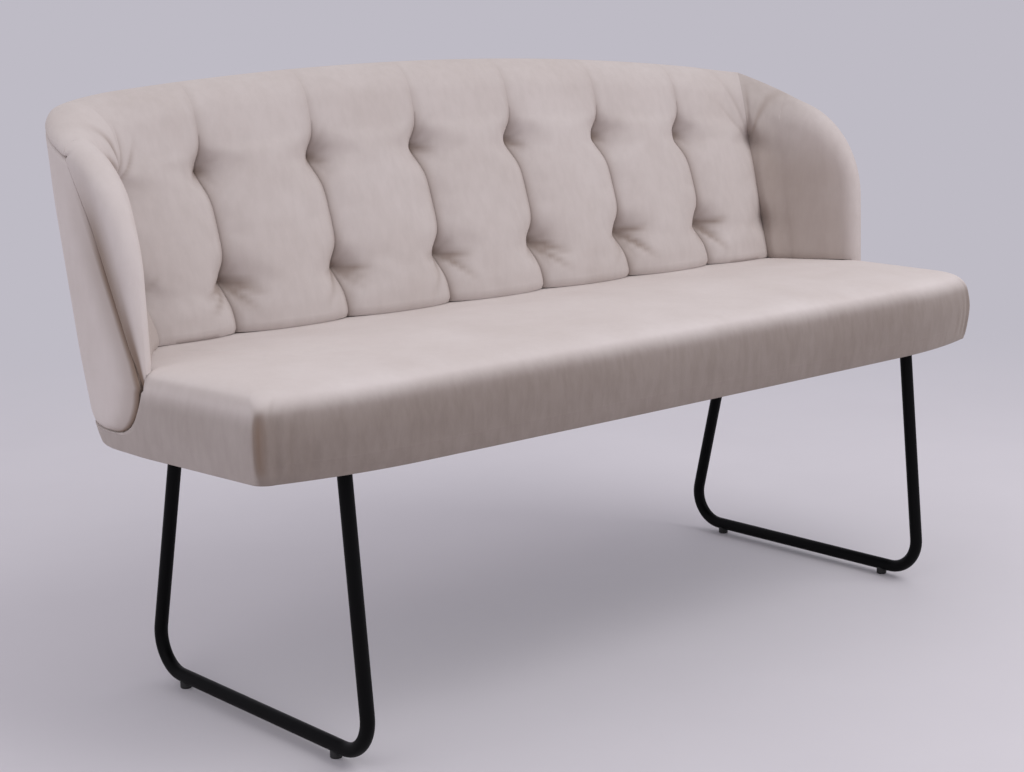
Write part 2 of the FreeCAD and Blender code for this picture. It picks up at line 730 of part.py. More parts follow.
def draw_u_plan(sketch, outer_inset, inner_inset, level):
    """Closed U: outer line round the back, inner line back to the start."""
    shift = f"size.back_lean_share * ({level} - size.shell_bottom)"
    front = f"-size.back_reach + {shift}"
    corners = []
    for inset, ways in ((outer_inset, (-1, 1)), (inner_inset, (1, -1))):
        side = f"(size.overall_width / 2 - ({inset}))"
        rear = f"size.back_rear - ({inset}) + {shift}"
        radius = f"size.back_corner - ({inset})"
        corners.append((f"{ways[0]} * {side}", front))
        corners.append((f"{ways[0]} * {side}", rear, radius))
        corners.append((f"{ways[1]} * {side}", rear, radius))
        corners.append((f"{ways[1]} * {side}", front))
    draw_outline(sketch, corners)


def draw_front_cut(sketch, drop):
    """Side view of what is cut off in front of and above the shell."""
    slope = "size.wing_top_slope_share"
    groove = "size.groove_slope_share"
    far = "-size.back_reach - size.overrun"
    past_corner = "size.wing_low_corner * 2 - size.wing_low_front"
    top = "(size.back_top + size.overrun)"
    # the groove line meets the wing's lowered top line
    meet_y = (f"({GROOVE_FOOT} + {groove} * (size.wing_corner_level - {drop}"
              f" + {slope} * size.wing_front - size.pad_level))"
              f" / (1 - {groove} * {slope})")
    meet_z = (f"size.wing_corner_level - {drop}"
              f" + {slope} * ({meet_y} + size.wing_front)")
    draw_outline(sketch, (
        (far, "size.shell_bottom - size.overrun"),
        (past_corner, "size.shell_bottom - size.overrun"),
        (past_corner, "size.shell_bottom"),
        ("-size.wing_low_front", "size.shell_bottom", "size.wing_low_corner"),
        (GROOVE_FOOT, "size.pad_level"),
        (meet_y, meet_z, "size.wing_meet_round"),
        ("size.corner_rear", f"size.corner_level - {drop}"),
        ("size.corner_rear", top),
        (far, top)))


def draw_arch_cut(sketch, drop):
    """Front view of what is cut off above the shell's arched top."""
    half = "(size.overall_width / 2 + size.overrun)"
    level = f"(size.back_top - {drop})"
    end = (f"({level} - size.arch_radius"
           f" + sqrt(size.arch_radius ^ 2 - {half} ^ 2))")
    top = "(size.back_top + size.overrun)"
    left = V(-mm(half), mm(end), 0)
    right = V(mm(half), mm(end), 0)
    centre = V(0, mm(level) - mm("arch_radius"), 0)
    first = math.atan2(right.y - centre.y, right.x)
    circle = Part.Circle(centre, V(0, 0, 1), mm("arch_radius"))
    arc = sketch.addGeometry(Part.ArcOfCircle(circle, first, math.pi - first), False)
    corners = [right, V(mm(half), mm(top), 0), V(-mm(half), mm(top), 0), left]
    lines = [sketch.addGeometry(Part.LineSegment(corners[index], corners[index + 1]), False)
             for index in range(3)]
    for line in lines[:-1]:
        sketch.addConstraint(Sketcher.Constraint("Coincident", line, 2, line + 1, 1))
    sketch.addConstraint(Sketcher.Constraint("Coincident", lines[0], 1, arc, 1))
    sketch.addConstraint(Sketcher.Constraint("Coincident", lines[2], 2, arc, 2))
    bind_point(sketch, lines[0], 1, half, end)
    bind_point(sketch, lines[1], 1, half, top)
    bind_point(sketch, lines[2], 1, "-" + half, top)
    bind_point(sketch, lines[2], 2, "-" + half, end)
    bind(sketch, "Radius", (arc,), "size.arch_radius")


def make_u_band(name, outer_inset, inner_inset, low, drop):
    """A leaning U-shaped band, trimmed to the arch and to the wings' outline."""
    body = add_body(name)
    high = "(size.back_top + size.overrun / 2)"
    plans = []
    for end, level in (("low", low), ("high", high)):
        sketch = add_sketch(body, f"{name}_{end}_plan", "XY_Plane", level)
        draw_u_plan(sketch, outer_inset, inner_inset, level)
        plans.append(sketch)
    doc.recompute()
    loft = body.newObject("PartDesign::AdditiveLoft", name + "_band")
    loft.Profile = plans[0]
    loft.Sections = [plans[1]]
    loft.Ruled = True
    doc.recompute()
    side = add_sketch(body, name + "_side_cut", "YZ_Plane")
    draw_front_cut(side, drop)
    doc.recompute()
    pocket(body, side, name + "_wing_line", both=True)
    arch = add_sketch(body, name + "_arch_cut", "XZ_Plane")
    draw_arch_cut(arch, drop)
    doc.recompute()
    pocket(body, arch, name + "_arch", both=True)
    return body


def make_shell():
    return make_u_band("back_shell", "size.outer_pad",
                       "size.outer_pad + size.shell_thickness",
                       "size.shell_bottom", "size.top_roll")


def make_outer_cover():
    return make_u_band("back_outer_cover", "0", "size.outer_pad",
                       "size.shell_bottom", "size.top_roll")


# Back pads

def padding_line(side_way, kind, place):
    """A station on the shell's inner face: point, inward direction, on a wing."""
    inset = mm("outer_pad + shell_thickness")
    side = mm("overall_width / 2") - inset
    radius = mm("back_corner") - inset
    rear = mm("back_rear") - inset
    if kind == "rear":
        return V(side_way * place, rear, 0), V(0, -1, 0), False
    if kind == "side":
        return V(side_way * side, place, 0), V(-side_way, 0, 0), True
    out = V(math.sin(place), math.cos(place), 0)
    point = V(side - radius, rear - radius, 0) + out * radius
    return (V(side_way * point.x, point.y, 0), V(-side_way * out.x, -out.y, 0),
            place > math.pi / 4 + math.radians(1))


def top_of_back(outer, on_wing):
    """Level of the upholstered top line at a point of the outer face."""
    if on_wing:
        return (mm("wing_corner_level")
                + mm("wing_top_slope_share") * (outer.y + mm("wing_front")))
    return mm("back_top") - outer.x ** 2 / (2 * mm("arch_radius"))


# Where the top roll's apex lies across its depth
TOP_DEPTH_SHARE = 0.3
TOP_ROUNDS = 6


def level_arc_middle(top_depth, crest, side_depth, side_level):
    """Middle of the arc that leaves a crest level and ends at its side."""
    width = side_depth - top_depth
    height = crest - side_level
    radius = (width ** 2 + height ** 2) / (2 * height)
    half_turn = math.atan2(height, abs(width))
    way = math.copysign(1, width)
    return (top_depth + way * radius * math.sin(half_turn),
            crest - radius * (1 - math.cos(half_turn)))


def pad_section(station, fullness, depth_share, slope=None, foot=None):
    """Closed upright section of a pad: 0 fullness is a seam, 1 the crown."""
    base, inward, on_wing = station
    lean = V(0, mm("back_lean_share"), 1)
    datum = mm("shell_bottom")
    low = mm("pad_level")
    if slope is not None:
        lean = V(0, slope, 1)
        base = V(base.x, foot - slope * (low - datum), 0)
    back_face = -mm("shell_thickness + outer_pad")
    top = mm("back_top")
    for _ in range(TOP_ROUNDS):
        top = top_of_back(base + inward * back_face + lean * (top - datum), on_wing)
    gap = mm("bend_clearance" if on_wing else "clearance")
    shell_top = top - mm("top_roll") + gap

    def spot(depth, level):
        across = base + inward * depth
        return V(across.x, across.y, datum) + lean * (level - datum)

    rise = (top - low) / (mm("back_top") - low)

    def level_at(name):
        return low + (mm(name) - low) * rise

    def depth(crown, seam):
        """Between a seam's depth and the crown's."""
        return blend(mm(seam), mm(crown), fullness) * depth_share

    def bow(start, end, seam):
        """An arc between two spots, bowed towards the room."""
        height = blend(mm(seam) * depth_share, mm("crown_bow"), fullness)
        return Part.Arc(start, (start + end) / 2 + inward * height, end).toShape()

    crest = top - mm("seam_top_dip") * (1 - fullness)
    roll_depth = depth("roll_depth", "roll_depth - seam_dip")
    p_back = spot(gap, low)
    p_edge = spot(gap, shell_top)
    p_rear = spot(back_face, shell_top)
    p_top = spot(roll_depth * TOP_DEPTH_SHARE, crest)
    roll = crest - mm("roll_height") * rise
    p_roll = spot(roll_depth, roll)
    p_upper = spot(depth("upper_depth", "upper_tuft_depth"), level_at("upper_tuft"))
    p_lower = spot(depth("lower_depth", "lower_tuft_depth"), level_at("lower_tuft"))
    p_foot = spot(depth("lumbar_depth", "lumbar_depth - seam_dip / 2"), low)
    top_depth = roll_depth * TOP_DEPTH_SHARE
    rear_mid = spot(*level_arc_middle(top_depth, crest, back_face, shell_top))
    front_mid = spot(*level_arc_middle(top_depth, crest, roll_depth, roll))
    return Part.Wire([
        Part.makeLine(p_back, p_edge),
        Part.makeLine(p_edge, p_rear),
        Part.Arc(p_rear, rear_mid, p_top).toShape(),
        Part.Arc(p_top, front_mid, p_roll).toShape(),
        bow(p_roll, p_upper, "roll_seam_bow"),
        bow(p_upper, p_lower, "waist_seam_bow"),
        bow(p_lower, p_foot, "foot_seam_bow"),
        Part.makeLine(p_foot, p_back)])


STRAIGHT_CHANNELS = 5
FULLNESS_SHARES = (0.0, 0.8, 1.0, 0.8, 0.0)
STATION_SHARES = (0.0, 0.22, 0.5, 0.78, 1.0)


def make_flat_channel(name, middle):
    """One of the five channels across the straight part of the back."""
    sections = []
    for share, fullness in zip(STATION_SHARES, FULLNESS_SHARES):
        place = middle + (share - 0.5) * mm("channel_pitch")
        sections.append(pad_section(padding_line(1, "rear", place), fullness, 1.0))
    return add_solid(name, smooth_loft(sections))


def make_corner_channel(name, way):
    """The channel from the last straight seam to the middle of the corner."""
    start = mm("channel_pitch") * STRAIGHT_CHANNELS / 2
    straight = mm("overall_width / 2 - back_corner") - start
    radius = mm("back_corner - outer_pad - shell_thickness - upper_depth / 2")
    length = straight + radius * math.pi / 4
    sections = []
    for share, fullness in zip(STATION_SHARES, FULLNESS_SHARES):
        run = share * length
        station = padding_line(way, "rear", start + run)
        if run > straight:
            station = padding_line(way, "corner", (run - straight) / radius)
        sections.append(pad_section(station, fullness, 1.0))
    return add_solid(name, smooth_loft(sections))


# Wing pads: angles in the corner, as shares of a right angle, then the pad's
# fullness and depth
WING_CORNER_SHARES = ((0.5, 0.0, 1.0), (0.66, 0.7, 1.0), (0.83, 1.0, 0.95), (1.0, 1.0, 0.84))
WING_SIDE_SHARES = ((0.35, 1.0, 0.66), (0.7, 1.0, 0.42))


def make_wing_pad(name, way):
    """The pad from the corner seam to the wing's padded front edge."""
    sections = []
    for share, fullness, depth_share in WING_CORNER_SHARES:
        station = padding_line(way, "corner", share * math.pi / 2)
        sections.append(pad_section(station, fullness, depth_share))
    start = mm("back_rear - back_corner") + back_shift(mm("pad_level"))
    end = mm("wing_edge_foot - wing_front + clearance")
    lean = mm("back_lean_share")
    final = mm("groove_slope_share")
    stops = WING_SIDE_SHARES + ((1.0, 1.0, mm("wing_pad_depth / lumbar_depth")),)
    for share, fullness, depth_share in stops:
        station = padding_line(way, "side", 0)
        sections.append(pad_section(station, fullness, depth_share,
                                    blend(lean, final, share), blend(start, end, share)))
    return add_solid(name, smooth_loft(sections))


def make_wing_edge(side, way):
    """Padded front edge of a wing, rounded on both faces."""
    name = side + "_wing_edge"
    body = add_body(name)
    slope = "size.wing_top_slope_share"
    groove = "size.groove_slope_share"
    meet_y = (f"({GROOVE_FOOT} + {groove} * (size.wing_corner_level"
              f" + {slope} * size.wing_front - size.pad_level))"
              f" / (1 - {groove} * {slope})")
    meet_z = f"size.wing_corner_level + {slope} * ({meet_y} + size.wing_front)"
    sketch = add_sketch(body, name + "_side", "YZ_Plane")
    draw_outline(sketch, (
        ("-size.wing_front", "size.pad_level"),
        (GROOVE_FOOT, "size.pad_level"),
        (meet_y, meet_z),
        ("-size.wing_front", "size.wing_corner_level", "size.wing_corner")))
    doc.recompute()
    pad(body, sketch, "size.wing_edge_thickness", name + "_pad", reverse=way < 0)
    rim = mm("pad_level + wing_edge_round")

    def on_rim(edge):
        middle = edge.valueAt((edge.FirstParameter + edge.LastParameter) / 2)
        along_x = edge.BoundBox.XLength > mm("wing_edge_thickness / 2")
        groove_y = mm(GROOVE_FOOT) + mm("groove_slope_share") * (middle.z - mm("pad_level"))
        return middle.z > rim and not along_x and middle.y < groove_y - mm("clearance")

    fillet(body, edges_where(body, on_rim), "size.wing_edge_round", name + "_round")
    offset = "(size.overall_width / 2 - size.wing_edge_thickness)"
    body.setExpression("Placement.Base.x", f"{way} * {offset}")
    return body


def make_back_pads():
    pieces = [make_corner_channel("back_channel_1", -1)]
    for number in range(STRAIGHT_CHANNELS):
        middle = (number - STRAIGHT_CHANNELS // 2) * mm("channel_pitch")
        pieces.append(make_flat_channel(f"back_channel_{number + 2}", middle))
    pieces.append(make_corner_channel(f"back_channel_{STRAIGHT_CHANNELS + 2}", 1))
    for side, way in (("left", -1), ("right", 1)):
        pieces.append(make_wing_pad(side + "_wing_pad", way))
        pieces.append(make_wing_edge(side, way))
    return pieces


def make_bench():
    pieces = make_legs()
    pieces.append(make_seat_board())
    cleats = make_cleats()
    doc.recompute()
    pieces += cleats
    pieces.append(make_dust_cover())
    pieces.append(make_seat_cushion([cleat.Shape for cleat in cleats]))
    pieces.append(make_shell())
    pieces.append(make_outer_cover())
    pieces += make_back_pads()
    return pieces


def check_and_export(pieces):
    """Stops on any failed feature, then writes one file for each piece."""
    doc.recompute()
    for item in doc.Objects:
        if "Invalid" in item.State or "Error" in item.State:
            raise ValueError(f"{item.Name} failed: {item.State}")
    for piece in pieces:
        shape = piece.Shape
        if shape.isNull() or not shape.isValid() or not shape.Solids:
            raise ValueError(f"{piece.Label} has no valid solid")
    os.makedirs("parts", exist_ok=True)
    for piece in pieces:
        piece.Shape.exportStep(f"parts/{piece.Label}.step")


check_and_export(make_bench())
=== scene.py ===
import math

import bmesh
import bpy
import numpy as np
from mathutils import Matrix, Vector


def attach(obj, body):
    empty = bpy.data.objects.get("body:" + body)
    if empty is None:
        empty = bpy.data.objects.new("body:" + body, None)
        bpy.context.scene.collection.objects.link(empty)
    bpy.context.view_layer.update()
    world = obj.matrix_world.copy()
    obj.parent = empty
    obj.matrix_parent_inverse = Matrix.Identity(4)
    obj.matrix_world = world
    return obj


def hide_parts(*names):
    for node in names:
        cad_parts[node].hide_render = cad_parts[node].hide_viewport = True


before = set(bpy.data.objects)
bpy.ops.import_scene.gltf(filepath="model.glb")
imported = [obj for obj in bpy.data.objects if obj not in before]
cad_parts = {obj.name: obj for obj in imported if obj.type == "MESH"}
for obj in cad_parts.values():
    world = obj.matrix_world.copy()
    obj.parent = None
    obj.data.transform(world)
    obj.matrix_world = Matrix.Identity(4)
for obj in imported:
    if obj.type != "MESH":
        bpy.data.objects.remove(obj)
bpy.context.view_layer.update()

# Driving dimensions, in metres, in the frame's own axes
HALF_WIDTH = 0.719
BACK_TOP = 0.845
SHELL_BOTTOM = 0.407
SHELL_THICKNESS = 0.010
OUTER_PAD = 0.007
BACK_REAR = 0.194
BACK_CORNER = 0.145
ARCH_RADIUS = 6.0
BACK_LEAN = 0.223
TOP_ROLL = 0.022
WING_FRONT = 0.0175
WING_CORNER_LEVEL = 0.712
WING_CORNER = 0.172
EDGE_FRONT = 0.0145
WING_LOW_FRONT = 0.044
WING_LOW_CORNER = 0.060
WING_THICKNESS = 0.031
GROOVE_FOOT = -0.0095
GROOVE_SLOPE = 0.53
PAD_LEVEL = 0.4995
PITCH = 0.190
FLAT_CHANNELS = 5
UPPER_TUFT = 0.718
LOWER_TUFT = 0.563
SEAT_BOTTOM = 0.383
SEAT_EDGE_HEIGHT = 0.110

INNER = OUTER_PAD + SHELL_THICKNESS
ROOT_HALF = math.sqrt(0.5)
# How far in from the square corner an arc's middle is, as a share of its radius
ARC_CUT = 1 - ROOT_HALF
CORNER_HALF = HALF_WIDTH - BACK_CORNER * ARC_CUT
CORNER_TURN = math.pi / 4
CORNER_LEVEL = BACK_TOP - CORNER_HALF ** 2 / (2 * ARCH_RADIUS)
CORNER_REAR = (BACK_REAR - BACK_CORNER * ARC_CUT
               + BACK_LEAN * (CORNER_LEVEL - SHELL_BOTTOM))
WING_SLOPE = (CORNER_LEVEL - WING_CORNER_LEVEL) / (CORNER_REAR + WING_FRONT)

SHARP_ANGLE = math.radians(62)
WING_SHARP_ANGLE = math.radians(42)
MERGE_REACH = 0.00005

# Painted nap shade, by piece and side: how far the velour's colour is darkened, as painted
# shade, where its pile would lie against the light. The seat's sides lose theirs between two
# levels, and the wings' corners gain theirs over a depth.
SIDE_NAP_SHADE = 0.62
SIDE_SHOULDER = (0.450, 0.482)
BACK_NAP_SHADE = 0.24
COVER_NAP_SHADE = 0.02
WING_NAP_SHADES = {-1: 0.02, 1: 0.16}
CORNER_NAP_SHADES = {-1: 0.12, 1: 0.36}
CORNER_RUN = (-0.04, 0.10)


# Small numeric helpers

def smooth_step(value, low, high):
    share = np.clip((value - low) / (high - low), 0.0, 1.0)
    return share * share * (3 - 2 * share)


def bell(value, width):
    return np.exp(-(value / width) ** 2)


def quarter_round(share):
    """0 at the edge, 1 inside, with a round shoulder between them."""
    inside = np.clip(share, 0.0, 1.0)
    return np.sqrt(np.clip(1 - (1 - inside) ** 2, 0.0, 1.0))


def leaned(level, lean=BACK_LEAN):
    """How far a leaning face has moved back at a level, from the shell's lower edge."""
    return lean * (level - SHELL_BOTTOM)


def arc_lengths(line):
    return np.concatenate([[0], np.cumsum(np.linalg.norm(np.diff(line, axis=0), axis=1))])


def pchip(x, knots, values):
    """Smooth curve through a few given knots, with no overshoot."""
    x = np.clip(np.asarray(x, float), knots[0], knots[-1])
    knots = np.asarray(knots, float)
    values = np.asarray(values, float)
    steps = np.diff(knots)
    slopes = np.diff(values) / steps
    tangents = np.zeros(len(knots))
    tangents[0], tangents[-1] = slopes[0], slopes[-1]
    same = slopes[:-1] * slopes[1:] > 0
    harmonic = 2 * slopes[:-1] * slopes[1:] / np.where(same, slopes[:-1] + slopes[1:], 1)
    tangents[1:-1] = np.where(same, harmonic, 0)
    cell = np.clip(np.searchsorted(knots, x, side="right") - 1, 0, len(steps) - 1)
    span = steps[cell]
    t = (x - knots[cell]) / span
    return (values[cell] * (1 + 2 * t) * (1 - t) ** 2
            + tangents[cell] * span * t * (1 - t) ** 2
            + values[cell + 1] * t * t * (3 - 2 * t)
            + tangents[cell + 1] * span * t * t * (t - 1))


# Mesh helpers

def add_to_scene(name, data):
    thing = bpy.data.objects.new(name, data)
    bpy.context.scene.collection.objects.link(thing)
    return thing


def make_object(name, points, faces):
    mesh = bpy.data.meshes.new(name)
    mesh.from_pydata([tuple(point) for point in points], [], faces)
    mesh.validate()
    mesh.update()
    for polygon in mesh.polygons:
        polygon.use_smooth = True
    return add_to_scene(name, mesh)


def add_share(piece, name, values):
    """Stores a share from 0 to 1 at each point, for the material to read."""
    layer = piece.data.attributes.new(name, "FLOAT", "POINT")
    layer.data.foreach_set("value", np.asarray(values, dtype=np.float32))


def vectors(piece, field="co"):
    """The places of a piece's points, or their normals."""
    values = np.zeros(len(piece.data.vertices) * 3)
    piece.data.vertices.foreach_get(field, values)
    return values.reshape(-1, 3)


def tidy_normals(piece, sharp):
    """Merges doubled points and turns every face outwards."""
    work = bmesh.new()
    work.from_mesh(piece.data)
    bmesh.ops.remove_doubles(work, verts=work.verts, dist=MERGE_REACH)
    bmesh.ops.dissolve_degenerate(work, edges=work.edges, dist=MERGE_REACH)
    bmesh.ops.recalc_face_normals(work, faces=work.faces)
    work.to_mesh(piece.data)
    work.free()
    piece.data.set_sharp_from_angle(angle=sharp)
    return piece


def skin_loops(name, made, sharp=SHARP_ANGLE, closed_ends=True):
    """A closed mesh through a row of closed loops, all with as many points.

    Each loop comes with its shares of painted fold shade and, for a pad, of how far it is
    held.
    """
    loops, *shares = (np.array(part) for part in zip(*made))
    rows, count, _ = loops.shape
    faces = []
    for row in range(rows - 1):
        for index in range(count):
            after = (index + 1) % count
            faces.append((row * count + index, row * count + after,
                          (row + 1) * count + after, (row + 1) * count + index))
    if closed_ends:
        faces.append(tuple(range(count - 1, -1, -1)))
        faces.append(tuple((rows - 1) * count + index for index in range(count)))
    piece = make_object(name, loops.reshape(-1, 3), faces)
    for share, values in zip(("fold", "held"), shares):
        add_share(piece, share, values.reshape(-1))
    return tidy_normals(piece, sharp)


# Cloth

CLOTH_FRAMES = 20
CLOTH_QUALITY = 6
CLOTH_MASS = 0.3
CLOTH_PRESSURE = 4.0
CLOTH_GROWTH = 0.022
CLOTH_STRETCH = 15
CLOTH_BENDING = 0.6
CLOTH_DAMPING = 2
# The furthest a point moves, and how often the movement is evened out
CLOTH_CAP = 0.0050
CLOTH_SMOOTHING = 4


def evened(mesh, values, times):
    """Values at a mesh's points, averaged with those of their neighbours."""
    ends = np.zeros(len(mesh.edges) * 2, dtype=int)
    mesh.edges.foreach_get("vertices", ends)
    first, second = ends.reshape(-1, 2).T
    number = np.bincount(ends, minlength=len(values))[:, None]
    for _ in range(times):
        total = np.zeros_like(values)
        np.add.at(total, first, values[second])
        np.add.at(total, second, values[first])
        values = (values + total / np.maximum(number, 1)) / 2
    return values


def swell(piece):
    """Lets a pad's cover swell as cloth between the places where it is held.

    The movement is capped, so the pad keeps its form and gains the cloth's own folds.
    """
    mesh = piece.data
    held = np.zeros(len(mesh.vertices))
    mesh.attributes["held"].data.foreach_get("value", held)
    mesh.attributes.remove(mesh.attributes["held"])
    before = vectors(piece)
    group = piece.vertex_groups.new(name="held")
    for index, weight in enumerate(held):
        group.add([index], float(weight), "REPLACE")
    cloth = piece.modifiers.new("cloth", "CLOTH")
    settings = cloth.settings
    settings.quality = CLOTH_QUALITY
    settings.mass = CLOTH_MASS
    settings.use_pressure = True
    settings.uniform_pressure_force = CLOTH_PRESSURE
    settings.effector_weights.gravity = 0.0
    settings.vertex_group_mass = "held"
    settings.shrink_min = settings.shrink_max = -CLOTH_GROWTH
    settings.tension_stiffness = settings.compression_stiffness = CLOTH_STRETCH
    settings.bending_stiffness = CLOTH_BENDING
    settings.air_damping = CLOTH_DAMPING
    cloth.point_cache.frame_start = 1
    cloth.point_cache.frame_end = CLOTH_FRAMES
    for number in range(1, CLOTH_FRAMES + 1):
        bpy.context.scene.frame_set(number)
    after = vectors(piece.evaluated_get(bpy.context.evaluated_depsgraph_get()))
    piece.modifiers.remove(cloth)
    piece.vertex_groups.remove(group)
    bpy.context.scene.frame_set(1)
    moved = after - before
    length = np.linalg.norm(moved, axis=1, keepdims=True)
    moved = moved * CLOTH_CAP * np.tanh(length / CLOTH_CAP) / np.maximum(length, 1e-9)
    moved = evened(mesh, moved, CLOTH_SMOOTHING)
    mesh.vertices.foreach_set("co", (before + moved).reshape(-1))
    mesh.update()
    return piece


# Back upholstery

# Steps in which a leaning face finds the top line above it
TOP_PASSES = 8
PANEL_PASSES = 12


def back_station(way, kind, place):
    """Point on the shell's inner face at its lower edge, inward direction, on a wing."""
    side = HALF_WIDTH - INNER
    radius = BACK_CORNER - INNER
    rear = BACK_REAR - INNER
    if kind == "rear":
        return np.array([way * place, rear]), np.array([0.0, -1.0]), False
    if kind == "side":
        return np.array([way * side, place]), np.array([-way * 1.0, 0.0]), True
    out = np.array([math.sin(place), math.cos(place)])
    point = np.array([side - radius, rear - radius]) + out * radius
    on_wing = place > CORNER_TURN + 0.001
    return point * (way, 1), -out * (way, 1), on_wing


def top_line(x, y, on_wing):
    """Level of the upholstered top line over a point of the outer face."""
    if on_wing:
        return WING_CORNER_LEVEL + WING_SLOPE * (y + WING_FRONT)
    return BACK_TOP - x * x / (2 * ARCH_RADIUS)


def top_level(base, inward, lean, on_wing):
    """Level of the top line above a station, found by steps as the face leans."""
    level = BACK_TOP
    for _ in range(TOP_PASSES):
        outer = base - inward * INNER + np.array([0.0, lean]) * (level - SHELL_BOTTOM)
        level = top_line(*outer, on_wing)
    return level


# Depth of a pad's crown from the shell's face, by level
CROWN_LEVELS = (PAD_LEVEL, LOWER_TUFT, 0.640, UPPER_TUFT, 0.801, BACK_TOP)
CROWN_DEPTHS = (0.098, 0.0945, 0.087, 0.078, 0.066, 0.058)
# Dip of a seam below the crown, by level
SEAM_LEVELS = (PAD_LEVEL, LOWER_TUFT, 0.640, UPPER_TUFT, 0.780, BACK_TOP)
SEAM_DIPS = (0.023, 0.020, 0.018, 0.018, 0.010, 0.003)
# Shade of a seam: its depth, and the dip and the share of the fall where it is full
SEAM_SHADE = 0.36
SHADED_DIP = 0.020
SHADED_FALL = (0.55, 1.0)
# How flat a pad stays between its seams, and how steeply it falls into them
PAD_FLATNESS = 2.6
PAD_FALL = 0.80
# A tuft: the dip it adds along its seam, its dimple and its shade
TUFT_DIP = 0.015
TUFT_HEIGHT = 0.026
DIMPLE_DIP = 0.011
DIMPLE_RADIUS = 0.025
TUFT_SHADE = 0.75
SHADE_RADIUS = DIMPLE_RADIUS * 0.42
# A fold's shade: the depth that makes it fully dark, and the most it darkens
DARK_CREASE = 0.006
FOLD_SHADE = 0.6
# Share of the folds' depth beside a pad's right-hand seam
FAR_FOLDS = 0.5
# Width of a pad's rounding on its face, below its top
ROLL_IN = 0.044


def tuft_levels(top):
    """The levels of the two tufts on a seam below a top line."""
    rise = (top - PAD_LEVEL) / (BACK_TOP - PAD_LEVEL)
    return (PAD_LEVEL + (LOWER_TUFT - PAD_LEVEL) * rise,
            PAD_LEVEL + (UPPER_TUFT - PAD_LEVEL) * rise)


# Folds that run out from a tuft: angle in degrees above level, length, depth
LOWER_FOLDS = ((-2, 0.052, 0.0046), (22, 0.036, 0.0014), (-27, 0.056, 0.0034),
               (-46, 0.074, 0.0036), (-68, 0.050, 0.0018), (60, 0.034, 0.0014))
UPPER_FOLDS = ((-14, 0.028, 0.0032), (36, 0.036, 0.0014), (66, 0.046, 0.0014),
               (-48, 0.030, 0.0014))
CORNER_FOLDS = (((40, 0.066, 0.0032), (66, 0.050, 0.0018), (-52, 0.045, 0.0018)),
                ((44, 0.150, 0.0068), (74, 0.150, 0.0062), (-24, 0.032, 0.0012)))
# A fold's width at its start, its share there and along its length, and its least
FOLD_WIDTH = 0.0052
FOLD_WIDENING = (0.55, 0.8)
FOLD_LEAST_WIDTH = 0.002
# Where a fold starts, and the share of its length where it begins to end
FOLD_START = (-0.003, 0.004)
FOLD_END = 0.25
# How far chance changes a fold: its angle in degrees, its length and its bend
FOLD_TURN = 9
FOLD_SIZES = (0.65, 1.2)
FOLD_BEND = 2.2
# How far a corner seam fades out, from below its upper tuft to above it, how much of
# that its tufts take part in, and its folds' depth by side
CORNER_FADE = 0.9
FADE_RUN = (0.01, 0.06)
TUFT_FADE = 0.5
FANS = {-1: 1.0, 1: 0.3}


def fold_depth(across, above, folds, seed):
    """Depth of the creases that run out from one tuft, over a field of points."""
    random = np.random.default_rng(seed)
    reach = np.hypot(across, above)
    total = np.zeros_like(reach)
    for angle, length, depth in folds:
        turn = math.radians(angle + random.uniform(-FOLD_TURN, FOLD_TURN))
        size = random.uniform(*FOLD_SIZES)
        run = across * math.cos(turn) + above * math.sin(turn)
        off = -across * math.sin(turn) + above * math.cos(turn)
        bend = off + run * run * random.uniform(-FOLD_BEND, FOLD_BEND)
        width = FOLD_WIDTH * (FOLD_WIDENING[0] + run / length * FOLD_WIDENING[1])
        ended = smooth_step(run, length * FOLD_END, length * size)
        along = smooth_step(run, *FOLD_START) * (1 - ended)
        total += depth * size * along * bell(bend, np.maximum(width, FOLD_LEAST_WIDTH))
    return total


def seam_fade(level, top, faded):
    """1 where a seam is drawn in; a corner seam fades out above its upper tuft."""
    upper = tuft_levels(top)[1]
    return 1 - faded * smooth_step(level, upper - FADE_RUN[0], upper + FADE_RUN[1])


